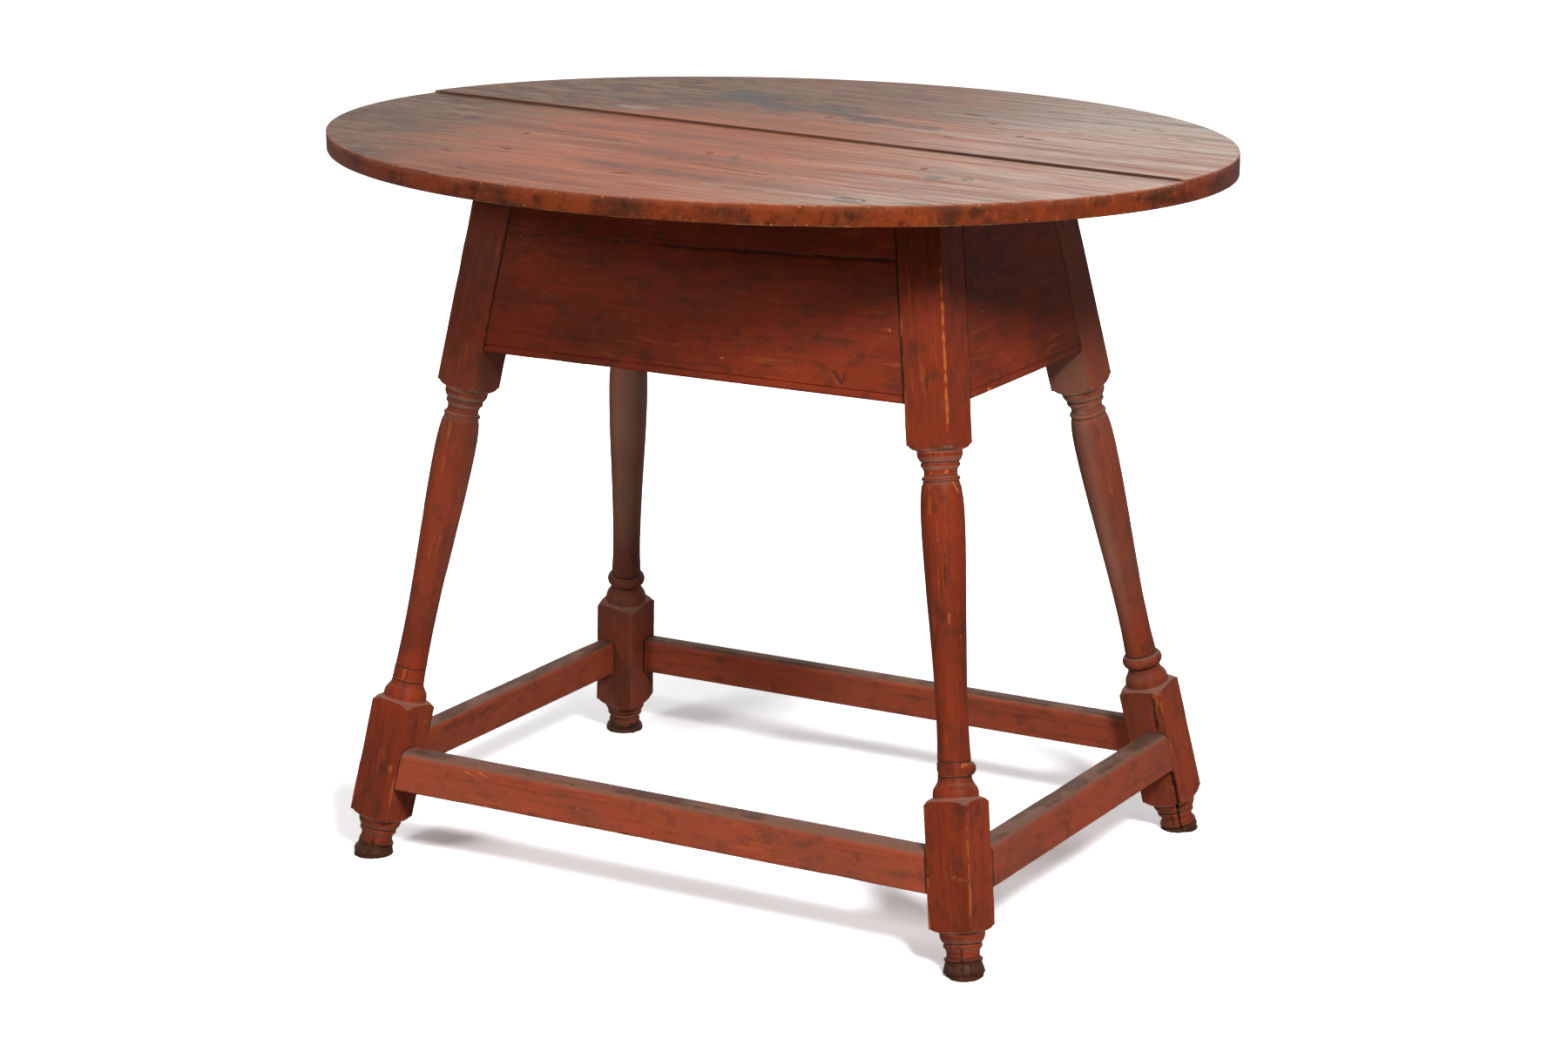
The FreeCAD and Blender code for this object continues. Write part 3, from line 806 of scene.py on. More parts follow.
TOP_SCARS = (
    Scar((-14, -150), (46, -166), 1.2, 0.7, -0.8),
    Scar((46, -166), (104, -180), 1.3, 0.8, -0.9),
    Scar((-181, -166), (-169, -169), 2.0, 0.8, -1.0),
    Scar((-156, -268), (-144, -271), 1.8, 0.8, -1.0),
    Scar((-222, -199), (-210, -202), 1.6, 0.8, -0.9),
    Scar((-23, -230), (-6, -225), 2.2, 0.9, -1.0),
    Scar((-100, -60), (-84, -64), 1.6, 0.6, -0.8),
    Scar((-243, 211), (-234, 226), 1.6, 0.6, -0.9),
    Scar((-234, 226), (-214, 236), 1.6, 0.6, -0.9),
    Scar((103, 180), (118, 176), 2.0, 0.9, -1.0),
    Scar((217, 84), (233, 80), 2.4, 0.9, -1.0),
    Scar((144, 61), (156, 58), 1.8, 0.7, -0.9),
    Scar((128, 67), (137, 65), 1.8, 0.7, -0.9),
    Scar((296, 178), (310, 174), 1.9, 0.8, -1.0),
    Scar((339, 141), (355, 137), 1.9, 0.8, -1.0),
    Scar((236, 130), (248, 126), 1.7, 0.7, -0.9),
    Scar((146, 143), (155, 141), 1.7, 0.7, -0.9),
)


def patched(points, patches, ragged):
    """How strongly soft patches show at flat points."""
    total = np.zeros(len(points))
    for patch in patches:
        gap = off_line(points, np.array(patch.start) * MM, np.array(patch.end) * MM)[0]
        within = 1 - rise(gap / (patch.width * MM) + ragged, 0.2, 1.1)
        total = np.maximum(total, patch.share * within)
    return total


PIN_HEAD = 0.05 * MM
PIN_SPREAD = 12 * MM
PIN_DIP = (3.6 * MM, 5.2 * MM)
PIN_DIP_DEPTH = 0.95 * MM
BOARD_SHIFT = (0.31, 0.17)
Seeds = namedtuple(
    "Seeds", "ridges hollows patches dents dent_groups sway chips chip_groups waver rubbed lower"
)
BOARD_SEEDS = Seeds(11, 12, 21, 31, 32, 41, 51, 52, 53, 54, 55)
SCAR_SEED = 61
RAGGED_SEED = 80
FLECK_SEED = 85
LEFT_FADE = (0.1, 0.4)
RIGHT_FADE = (0.0, 0.34)
REAR_FADE = (0.0, 0.2)
FRONT_FADE = (0.1, 0.2)
RIM_FADE_SHARES = (0.02, 0.09)
SEAM_FACE = 2.5 * MM
SEAM_EDGE = (1 * MM, 4 * MM)
# How far the painted shade along the seam reaches onto the top.
SEAM_SHADE_REACH = (0.7 * MM, 1.8 * MM)
RIM_ARRIS = (2 * MM, 4 * MM)
RIM_TURN = (0.9 * MM, 1.8 * MM)
GRAIN_SWAY = 0.004
HOLLOW_DEPTH = 0.5 * MM
KNOT_DEPTH = 0.3 * MM
DENT_DEPTH = 0.6 * MM
CHIP_DEPTH = 0.9 * MM
RIM_WAVER = 0.5 * MM


def pin_heads(node):
    """The middles of the pins' heads, from the solids that lie apart in one node."""
    places = vertex_places(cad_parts[node].data)
    heads = places[places[:, 2] > places[:, 2].max() - PIN_HEAD]
    middles = []
    while len(heads):
        near = np.linalg.norm(heads - heads[0], axis=1) < PIN_SPREAD
        middles.append(heads[near].mean(axis=0))
        heads = heads[~near]
    return middles


def weathering(flat, flat_grain, from_rim, ragged):
    """How strongly grey brown weathering shows on a board, and how strongly a painted sheen and a few
    pale patches show.
    """
    patchy = layered_noise(flat_grain, (0.3, 0.06, 1), BOARD_SEEDS.patches)
    left_end = rise(-flat[:, 0], *LEFT_FADE)
    right_end_sheen = rise(flat[:, 0], *RIGHT_FADE)
    rear = rise(flat[:, 1], *REAR_FADE)
    front_rim = (1 - rise(from_rim, *RIM_FADE_SHARES)) * rise(-flat[:, 1], *FRONT_FADE)
    bloom = 0.5 * (patchy - 0.5) + 0.75 * left_end + 0.65 * rear + 0.3 * front_rim - 0.1 * right_end_sheen
    bloom = bloom + patched(flat, SMUDGES, 0.3 * ragged)
    # The pale share is a painted sheen at the right end, with a few pale patches.
    return bloom, np.maximum(right_end_sheen * (0.8 + 0.2 * rear), patched(flat, PALES, ragged))


def dress_board(mesh, face_count, oval, side, look, pins):
    """Wears the grain into ridges, adds knots, cracks and dents, and notes where marks lie, with the
    painted sheen and the painted shade of the seam among them.
    """
    places = vertex_places(mesh)
    flat = places[:, :2].copy()
    along, across = oval.grain(flat)
    shifted = along + BOARD_SHIFT[0] * side
    grain = np.column_stack([shifted, across + BOARD_SHIFT[1] * side, places[:, 2]])
    flat_grain = np.column_stack([shifted, across, np.zeros(len(along))])
    seeds = BOARD_SEEDS
    upper = np.zeros(len(places))
    upper[:face_count] = 1
    from_rim = 1 - np.hypot(flat[:, 0] / oval.half_length, flat[:, 1] / oval.half_width)
    from_seam = np.abs(across - oval.seam[side])
    sway = layered_noise(flat_grain, (0.16, 0.05, 1), seeds.sway)[:, None] - 0.5
    warped = flat_grain + GRAIN_SWAY * sway
    ridges = layered_noise(warped, (0.3, 0.011, 1), seeds.ridges)
    hollows = noise(flat_grain, (0.35, 0.06, 1), seeds.hollows)
    cut, bare, crack = scarred(flat, TOP_SCARS, (MM, MM), SCAR_SEED)
    sink = look.ridge_depth * ridges + HOLLOW_DEPTH * hollows + cut
    ragged = 1.2 * (layered_noise(flat_grain, (0.04, 0.014, 1), RAGGED_SEED) - 0.5)
    stain = patched(flat, STAINS, ragged)
    bloom, pale = weathering(flat, flat_grain, from_rim, ragged)
    for knot in KNOTS:
        offset_along, offset_across = oval.grain(flat - np.array((knot.x, knot.y)) * MM)
        far = np.hypot(offset_along / (knot.length * MM), offset_across / (knot.width * MM))
        within = 1 - rise(far, 0.75, 1.05)
        ring = 0.5 + 0.5 * np.sin(far * 17 + 4 * noise(flat_grain, 0.012, knot.seed))
        bloom = bloom + 0.6 * within
        stain = np.maximum(stain, within * (0.25 + 0.75 * rise(ring, 0.5, 1.0)))
        sink = sink + KNOT_DEPTH * within * ring
    dents = noise(flat_grain, (0.012, 0.004, 1), seeds.dents)
    dented = rise(dents, 0.93, 1.0) * rise(noise(flat_grain, 0.09, seeds.dent_groups), 0.4, 0.7)
    sink = sink + DENT_DEPTH * dented
    for middle in pins:
        dip = 1 - rise(np.linalg.norm(flat - middle[:2], axis=1), *PIN_DIP)
        sink = np.maximum(sink, dip * PIN_DIP_DEPTH)
        stain = np.maximum(stain, 0.6 * dip)
    places[:, 2] -= upper * sink
    at_seam = (1 - upper) * (from_seam < SEAM_FACE) * (from_rim > 0.012)
    at_rim = 1 - upper - at_seam
    low, high = places[:, 2].min(), places[:, 2].max()
    arris = 1 - rise(np.minimum(places[:, 2] - low, high - places[:, 2]), *RIM_ARRIS)
    chips = rise(noise(places, 0.005, seeds.chips), 0.78, 0.95)
    chips = chips * rise(noise(places, 0.04, seeds.chip_groups), 0.45, 0.75)
    waver = RIM_WAVER * noise(places, (0.03, 0.03, 0.006), seeds.waver)
    drawn_in = at_rim * (CHIP_DEPTH * chips * arris + waver)
    places[:, :2] -= drawn_in[:, None] * oval.rim_normal(flat)
    set_vertex_places(mesh, places)
    rubbed = rise(bends(mesh), 0.08, 0.4) * rise(noise(places, 0.03, seeds.rubbed), 0.3, 0.75)
    # A pale line painted along the rim's lower edge as its sheen, laid in with the worn paint.
    lower = band(places[:, 2] - low, 0.3 * MM, 1.1 * MM, 0.5 * MM)
    worn = np.maximum(0.3 * rubbed, at_rim * lower * (0.35 + 0.4 * noise(places, 0.025, seeds.lower)))
    # Painted shade: a dark line on the top along the seam, and the seam's own faces painted dark.
    seam_painted_shade = 0.45 * (1 - rise(from_seam, *SEAM_SHADE_REACH)) * (from_rim > 0.004)
    crack = np.maximum(upper * np.maximum.reduce([crack, 0.7 * dented, seam_painted_shade]), 0.85 * at_seam)
    flecks = rise(noise(flat_grain, (0.03, 0.01, 1), FLECK_SEED), 0.5, 0.7)
    seam_flecks = (1 - rise(from_seam, *SEAM_EDGE)) * flecks
    bright = np.maximum(patched(flat, ORANGES, ragged), 0.8 * (side > 0) * seam_flecks)
    rim = at_rim * rise(high - places[:, 2], *RIM_TURN)
    rim[places[:, 2] < low + 0.2 * MM] = 0.6
    keep_values(
        mesh, grain=grain, rim=rim, worn=worn, lip=at_rim * arris,
        bare=np.maximum(at_rim * chips * arris, upper * bare),
        stain=upper * stain, bloom=upper * bloom, pale=upper * pale, crack=crack,
        olive=upper * patched(flat, OLIVES, ragged), orange=upper * bright,
    )


# Legs

Touch = namedtuple("Touch", "height width swell")
TOUCHES = (
    Touch(8.0, 0.8, -0.7),
    Touch(12.6, 0.7, -0.4),
    Touch(24.5, 0.7, -0.8),
    Touch(29.6, 2.4, 0.3),
    Touch(39.7, 3.2, -1.8),
    Touch(148.3, 3.2, -1.6),
    Touch(163.3, 0.7, -0.6),
    Touch(172.0, 0.8, -0.4),
    Touch(184.5, 0.8, -0.4),
    Touch(424.4, 0.7, -0.6),
    Touch(426.3, 0.6, -0.5),
    Touch(430.8, 0.7, -0.3),
    Touch(442.8, 0.7, -0.8),
    Touch(448.0, 2.2, 0.3),
    Touch(458.4, 3.4, -1.8),
)
SHOULDER_FOOTS = ((33.5, 35.5), (152.5, 154.5), (451.8, 453.8))
SHOULDERS_BELOW = ((34.5, 46.0), (452.8, 466.8))
SHOULDERS_ABOVE = ((141.5, 153.5),)
BEAD = ((161, 182),)
CUP = ((149, 160),)
LOW_DOWN = (0.13, 0.2)
DUSTED = (0.18, 0.28)
UPPER_LEG = (0.2, 0.4)
OFF_FLOOR = (12 * MM, 20 * MM)
FOOT_GRIME = 8 * MM
TURNED_EDGE = 0.6 * MM
NICK_CELL = (0.012, 0.012, 0.016)
NICK_LEAST = 0.6 * MM
NICK_MORE = 5 * MM
WEAR_ROUGHNESS = 1.0 * MM
WEAR_FADE = 2 * MM
WEAR_TURN_FADE = 22
FLOOR_WEAR = 3 * MM
FLOOR_WEAR_DEPTH = 0.4 * MM
FLOOR_CHIP_DEPTH = 1.5 * MM
PAD_FLARE = ((0.0, 18.0), (2.2, 18.7), (4.6, 17.9), (7.4, 16.5))
SOLID_PAD = 8 * MM
MOULDED = 26.5 * MM
ABOVE_FOOT = 60 * MM
FOOT_PADS = {"front_right": 11.5, "front_left": 10.5, "back_right": 5.5, "back_left": 8.5}
CUT_SOFTNESS = 0.25 * MM
SIDE_FACES = 30
CORNER_CROWDING = 0.6
END_ROWS = 10
END_REACH = {"foot": 4 * MM, "head": 30 * MM}


class TurnedLeg:
    """A leg turned from a square stick: its axis, its square and the radius left at each height."""

    PROFILE_STEP = 0.2 * MM
    OUTSIDE = 60 * MM
    UNCUT = 34 * MM
    PAST_END = 10 * MM
    LEVEL_SLACK = 0.01 * MM
    SQUARE_SLACK = 0.4 * MM
    INTO_POST = 4 * MM
    EVENED_OVER = 5 * MM
    OFF_CORNER = math.radians(0.5)
    BUSY_SLOPE = 0.12
    BUSY_REACH = 4 * MM
    BUSY_GAIN = 3

    def __init__(self, node, corner):
        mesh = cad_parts[node].data
        places = vertex_places(mesh)
        low, high = places[:, 2].min(), places[:, 2].max()
        ends = [places[np.abs(places[:, 2] - level) < self.LEVEL_SLACK] for level in (low, high)]
        self.foot, head = [(end.min(axis=0) + end.max(axis=0)) / 2 for end in ends]
        axis = Vector(head - self.foot)
        self.length = axis.length
        self.upright = np.array(axis.rotation_difference(Vector((0, 0, 1))).to_matrix())
        self.lean = self.upright[2, 2]
        faces = [tuple(face.vertices) for face in mesh.polygons]
        self.tree = BVHTree.FromPolygons(places.tolist(), faces)
        side_x, side_y = CORNERS[corner]
        outer_corner = math.atan2(side_y, side_x) - self.OFF_CORNER
        self.heights = np.arange(-self.PAST_END, self.length + self.PAST_END, self.PROFILE_STEP)
        radii = np.array([self.reach(outer_corner, height) for height in self.heights])
        known = ~np.isnan(radii)
        radii = np.interp(self.heights, self.heights[known], radii[known])
        square = radii > radii.max() - self.SQUARE_SLACK
        square |= self.heights > self.length - END_REACH["head"]
        post_low = self.heights[np.flatnonzero(~square)[-1]]
        self.half = self.reach(math.pi / 2 * (1 - side_x), post_low + self.INTO_POST)
        for touch in TOUCHES:
            off = (self.heights / MM - touch.height) / touch.width
            radii = radii + touch.swell * MM * np.exp(-off ** 2)
        pad_heights, pad_radii = np.array(PAD_FLARE).T * MM
        flared = np.interp(self.heights, pad_heights, pad_radii)
        radii = np.where(self.heights < pad_heights[-1], flared, radii)
        self.radii = np.where(square, self.UNCUT, radii)
        pad = FOOT_PADS[corner] * MM
        self.shown = np.array([-1, 0, pad, pad + MOULDED, ABOVE_FOOT, 2])
        self.solid = np.array([-1, 0, SOLID_PAD, SOLID_PAD + MOULDED, ABOVE_FOOT, 2])
        window = round(self.EVENED_OVER / self.PROFILE_STEP)
        even = np.convolve(radii, np.ones(window) / window, mode="same")
        self.standing = np.where(square, 0, radii - even)
        self.widening = np.where(square, 0, np.gradient(radii, self.heights))

    def reach(self, turn, height):
        """How far the solid reaches from its axis in one direction."""
        aside = np.array([math.cos(turn), math.sin(turn), 0])
        start = (aside * self.OUTSIDE + np.array([0, 0, height])) @ self.upright + self.foot
        distance = self.tree.ray_cast(Vector(start), Vector(-aside @ self.upright), self.OUTSIDE)[3]
        return math.nan if distance is None else self.OUTSIDE - distance

    def solid_height(self, heights):
        """Heights of the solid leg for heights of the leg as it is shown."""
        return np.interp(heights, self.shown, self.solid)

    def turned(self, heights, values):
        """Values of the profile at heights of the leg as it is shown."""
        return np.interp(self.solid_height(heights), self.heights, values)

    def rows(self, look):
        """Heights of the rows of faces, closer together on the mouldings."""
        heights = np.arange(END_REACH["foot"], self.length - END_REACH["head"], self.PROFILE_STEP)
        radii = np.minimum(self.turned(heights, self.radii), self.half * math.sqrt(2))
        busy = np.abs(np.gradient(radii, heights)) > self.BUSY_SLOPE
        window = round(self.BUSY_REACH / self.PROFILE_STEP)
        nearby = np.convolve(busy, np.ones(window) / window, mode="same")
        busy = np.clip(self.BUSY_GAIN * nearby, 0, 1)
        density = 1 / look.leg_plain_step + busy * (1 / look.leg_fine_step - 1 / look.leg_plain_step)
        walked = np.cumsum(density) * self.PROFILE_STEP
        return np.interp(np.linspace(walked[0], walked[-1], math.ceil(walked[-1])), walked, heights)

    def end_height(self, turns, radii, level):
        """How high up the axis points at a radius meet a level plane."""
        aside = radii * (self.upright[0, 2] * np.cos(turns) + self.upright[1, 2] * np.sin(turns))
        return (level - self.foot[2] - aside) / self.lean


def least(sharpness, *values):
    """The least of several values, with a soft change from one to the next."""
    total = sum(np.exp(-value / sharpness) for value in values)
    return -sharpness * np.log(total)


def turned_mesh(name, leg, look, seed):
    """A leg's mesh, and the turn, height, radius, lathe radius and square of each of its vertices."""
    steps = np.linspace(-1, 1, SIDE_FACES, endpoint=False)
    across = (1 - CORNER_CROWDING) * steps + CORNER_CROWDING * np.sin(steps * math.pi / 2)
    turns = np.concatenate([side * math.pi / 2 + np.arctan(across) for side in range(4)])
    square = np.tile(leg.half * np.hypot(1, across), 4)
    middle = leg.rows(look)
    foot_radius = np.full(len(turns), leg.turned(0, leg.radii))
    parts = np.linspace(0, 1, END_ROWS, endpoint=False)[:, None]
    foot_end = leg.end_height(turns, foot_radius, CAD_LOW.z)
    head_end = leg.end_height(turns, square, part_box(name)[1].z)
    heights = np.concatenate([
        foot_end + (middle[0] - foot_end) * parts,
        np.repeat(middle[:, None], len(turns), axis=1),
        head_end + (middle[-1] - head_end) * parts[::-1],
    ])
    count, around = heights.shape
    turn = np.tile(turns, count)
    height = heights.ravel()
    square = np.tile(square, count)
    lathe = leg.turned(height, leg.radii)
    uneven = noise(np.column_stack([turn, turn, height]), (1, 1, 0.02), seed)
    wear = look.arris_wear * (0.4 + 1.2 * uneven)
    radius = least(CUT_SOFTNESS, lathe, square, leg.half * math.sqrt(2) - wear)
    index = np.arange(count * around).reshape(count, around)
    onward = np.roll(index, -1, axis=1)
    quads = np.stack([index[:-1], onward[:-1], onward[1:], index[1:]], axis=-1)
    faces = quads.reshape(-1, 4).tolist()
    caps = ((onward[0], index[0]), (index[-1], onward[-1]))
    for centre, (first, second) in enumerate(caps, count * around):
        faces += [(centre, *pair) for pair in zip(first.tolist(), second.tolist())]
    ends = [foot_end.mean(), head_end.mean()]
    columns = [
        np.concatenate([values, last]) for values, last in (
            (turn, [0, 0]), (height, ends), (radius, [0, 0]), (lathe, [0, 0]), (square, [leg.half] * 2),
        )
    ]
    mesh = bpy.data.meshes.new(name)
    mesh.from_pydata(np.zeros((len(columns[0]), 3)).tolist(), [], faces)
    return mesh, columns


ARC = math.radians(1) * 20 * MM
LEG_SCARS = {
    "front_right": (
        Scar((-45, 592), (-45, 458), 1.4, 0.4, 0.86),
        Scar((-44, 422.5), (-36, 423.5), 1.9, 0.4, 0.86),
        Scar((-99, 421.5), (-91, 422.5), 1.6, 0.3, 0.74),
        Scar((-22, 413), (-8, 405), 1.3, 0.4, 1.1),
        Scar((-98, 411), (-96, 386), 2.6, 0.2, 0.72),
        Scar((-76, 380), (-77, 364), 2.2, 0.2, 0.62),
        Scar((-62, 354), (-64, 327), 1.4, 0.5, -0.8),
        Scar((-55, 352), (-57, 320), 1.3, 0.2, 0.6),
        Scar((-82, 333), (-82, 316), 2.6, 0.2, 0.62),
        Scar((-56, 304), (-56, 297), 1.9, 0.3, 0.8),
        Scar((-20, 286), (-20, 284), 2.0, 0.4, 0.9),
        Scar((-84, 206), (-80, 196), 3.2, 0.2, 0.55),
        Scar((-20, 178), (-32, 177), 3.0, 0.3, 0.85),
        Scar((-46, 128), (-46, 82), 2.4, 0.3, 0.64),
        Scar((-49, 118), (-50, 96), 2.8, 0.3, 0.62),
        Scar((-45, 66), (-46, 52), 2.2, 0.3, 0.66),
        Scar((-50, 82), (-98, 90), 0.9, 0.2, 0.75),
        Scar((-50, 81), (-86, 84), 0.8, 0.2, 0.7),
        Scar((-132, 86), (-138, 86), 1.6, 0.4, -0.9),
        Scar((-68, 22), (-68, 0), 1.1, 2.4, -1.0),
        Scar((-98, 9), (-98, 0), 1.4, 1.6, -0.9),
        Scar((-40, 9), (-42, 0), 1.4, 1.6, -0.9),
        Scar((-104, 2), (-90, 2), 2.2, 0.6, 1.0),
        Scar((-20, 2), (-8, 2), 2.2, 0.6, 1.0),
    ),
    "front_left": (
        Scar((-90, 410), (-82, 397), 1.7, 0.2, 0.75),
        Scar((-80, 379), (-80, 364), 1.7, 0.2, 0.7),
        Scar((-70, 300), (-70, 296), 2.0, 0.2, 0.6),
        Scar((-76, 177), (-76, 172), 3.6, 0.2, 0.8),
        Scar((18, 130), (34, 133), 1.2, 0.3, 0.95),
        Scar((-58, 90), (-58, 85), 2.0, 0.3, 0.8),
        Scar((-150, 72), (-148, 69), 2.8, 0.6, 0.9),
        Scar((-45, 66), (-45, 48), 1.6, 0.3, 0.6),
        Scar((-68, 16), (-68, 0), 1.3, 2.4, -1.0),
        Scar((-90, 4), (-84, 3), 2.2, 0.6, 1.0),
        Scar((-54, 1), (-48, 1), 2.2, 0.6, 0.9),
    ),
    "back_right": (
        Scar((-30, 410), (-30, 394), 1.5, 0.2, 0.6),
        Scar((-48, 146), (-60, 126), 2.8, 1.8, 0.8),
        Scar((-58, 140), (-64, 110), 1.4, 2.0, -0.9),
        Scar((-54, 66), (-54, 0), 1.4, 2.8, -1.0),
        Scar((-80, 20), (-80, 0), 1.3, 1.2, -0.7),
    ),
    "back_left": (
        Scar((-50, 206), (-50, 194), 1.7, 0.2, 0.6),
        Scar((-45, 140), (-45, 60), 1.5, 0.3, 0.5),
        Scar((-84, 112), (-74, 96), 1.2, 0.2, 0.65),
        Scar((-30, 12), (-30, 0), 1.6, 2.0, -0.9),
    ),
}
WornBand = namedtuple("WornBand", "low high radius from_turn to_turn")
WORN_BANDS = {
    "front_right": (WornBand(169, 179, 15.0, -180, -22),),
    "front_left": (
        WornBand(169, 179, 15.0, -180, 180),
        WornBand(8, 16, 15.6, -180, -60),
    ),
    "back_right": (WornBand(-2, 5, 17.4, -180, 180),),
    "back_left": (WornBand(7, 13, 15.6, -180, 180),),
}
# How strongly each leg gets a paler, greyer painted cast that stands in for light; the back legs most.
LEG_PAINTED_LIGHT = {"front_right": 0.0, "front_left": 0.08, "back_right": 0.24, "back_left": 0.42}


def worn_down(local, turn, height, radius, corner, seed):
    """Distances by which wear has drawn a leg's mouldings in towards its axis."""
    drawn_in = np.zeros(len(local))
    rough = WEAR_ROUGHNESS * (noise(local, 0.008, seed) - 0.5)
    for worn in WORN_BANDS[corner]:
        within = band(height, worn.low * MM, worn.high * MM, WEAR_FADE)
        if worn.to_turn - worn.from_turn < 360:
            within = within * band(turn, worn.from_turn, worn.to_turn, WEAR_TURN_FADE)
        excess = np.maximum(radius - worn.radius * MM - rough, 0)
        drawn_in = np.maximum(drawn_in, within * excess)
    at_floor = 1 - rise(height, 0, FLOOR_WEAR)
    lumps = rise(noise(local, 0.006, seed + 1), 0.4, 0.9)
    return drawn_in + at_floor * (FLOOR_WEAR_DEPTH * at_floor + FLOOR_CHIP_DEPTH * lumps)


def within_any(heights, spans, soft):
    """1 in any of several spans of height, given in millimetres, fading out beyond them."""
    return np.maximum.reduce([band(heights, low * MM, high * MM, soft) for low, high in spans])


def dress_leg(mesh, columns, leg, corner, seed):
    """Wears and dents a leg, and notes where its paint is worn and grimy and where shade, light and sheen
    are painted on it.
    """
    turn, along, radius, lathe, square = columns
    degrees = (np.degrees(turn) + 180) % 360 - 180
    height = along * leg.lean
    solid_height = leg.solid_height(along)
    aside = np.column_stack([np.cos(turn), np.sin(turn), np.zeros(len(turn))])
    upwards = np.array([0, 0, 1]) * along[:, None]
    drawn_in = worn_down(aside * radius[:, None] + upwards, degrees, height, radius, corner, seed + 3)
    local = aside * np.maximum(radius - drawn_in, 0)[:, None] + upwards
    places = local @ leg.upright + leg.foot
    set_vertex_places(mesh, places)
    unrolled = np.column_stack([degrees * ARC, height])
    cut, scraped, dark = scarred(unrolled, LEG_SCARS[corner], (ARC, MM), seed + 7)
    sink = hand_worked(local, LEG_SURFACE, seed) + cut
    places = places - vertex_normals(mesh) * sink[:, None]
    places[:, 2] = np.maximum(places[:, 2], CAD_LOW.z)
    set_vertex_places(mesh, places)
    normals = vertex_normals(mesh)
    patchy = layered_noise(local, LEG_SURFACE.patch_cell, seed + 9)
    is_turned = rise(square - lathe, 0, TURNED_EDGE)
    standing = leg.turned(along, leg.standing)
    crest = is_turned * rise(standing, 0.15 * MM, 0.8 * MM)
    at_shoulder = within_any(solid_height, SHOULDER_FOOTS, MM)
    below_square = is_turned * within_any(solid_height, SHOULDERS_BELOW, 0.5 * MM)
    above_square = is_turned * within_any(solid_height, SHOULDERS_ABOVE, 0.5 * MM)
    groove = is_turned * rise(-standing, 0.2 * MM, 0.9 * MM) * (1 - 0.85 * at_shoulder)
    from_corner = leg.half - np.sqrt(np.maximum(square ** 2 - leg.half ** 2, 0))
    nicked = layered_noise(local, NICK_CELL, seed + 11)
    wide = NICK_LEAST + NICK_MORE * rise(nicked, 0.35, 0.8)
    arris = (1 - is_turned) * (1 - rise(from_corner, 0.3 * wide, wide)) * rise(nicked, 0.35, 0.6)
    scallop = 1 - rise(np.abs(square - lathe), 0.3 * MM, 1.2 * MM)
    worn = np.maximum.reduce([0.8 * crest, arris, 0.6 * scallop]) * rise(patchy, 0.28, 0.7)
    pad = FOOT_PADS[corner] * MM
    low_foot = 1 - rise(height, pad, pad + FOOT_GRIME)
    low_down = 1 - rise(height, *LOW_DOWN)
    # Painted shade on faces that turn to the front, more on the lower part.
    painted_front_shade = rise(-normals[:, 1], 0.2, 0.8) * (0.2 + 0.12 * low_down)
    hollow = np.maximum.reduce([groove, dark, 0.85 * low_foot, painted_front_shade])
    above_foot = rise(height, *OFF_FLOOR)
    ledges = 0.8 * rise(normals[:, 2], 0.35, 0.85) * above_foot
    soot = np.maximum(ledges * (1 - 0.6 * within_any(height, CUP, 2 * MM)), 0.55 * above_square)
    # Painted sheen under the widening mouldings, at the shoulders' feet and on the cones below the
    # squares.
    underside = is_turned * rise(leg.turned(along, leg.widening), 0.1, 0.9)
    off_bead = 1 - within_any(height, BEAD, 4 * MM)
    underside = underside * off_bead * (0.35 + 0.2 * rise(height, *UPPER_LEG))
    sheen_and_film_share = np.maximum.reduce([underside, 0.3 * at_shoulder, 0.5 * below_square]) * above_foot
    # Paler, greyer cast painted on the back legs, most on their inner sides, standing in for the light
    # they catch.
    inner_side = rise(-normals[:, :2] @ np.array(CORNERS[corner]), 0.2, 1.0)
    film = LEG_PAINTED_LIGHT[corner] * (0.2 + 0.8 * rise(height, *DUSTED)) * (0.5 + inner_side) + sheen_and_film_share
    # Painted light on the lower faces that turn to the right.
    fresh = 0.5 * low_down * rise(normals[:, 0], 0.2, 0.7)
    bare = np.maximum(rise(patchy, 0.72, 0.86) * 0.5, scraped)
    shift = np.array([0.37 * seed, 0.21 * seed, 0.11 * seed])
    keep_values(
        mesh, grain=local + shift, worn=worn, hollow=hollow, soot=soot, bare=bare, film=film, fresh=fresh
    )


# Rails: aprons and stretchers

PROBE_INSET = 0.8 * MM
SHOULDER_SLANT = 12 * MM
SHOULDER_FLATNESS = 0.4 * MM
TENON_PROBE = 4 * MM
SCAR_SWAY = 3 * MM
SHOULDER_GRIME = (0.3 * MM, 2.4 * MM)
DUST_LEAST = 0.5 * MM
DUST_CREEP = 6 * MM


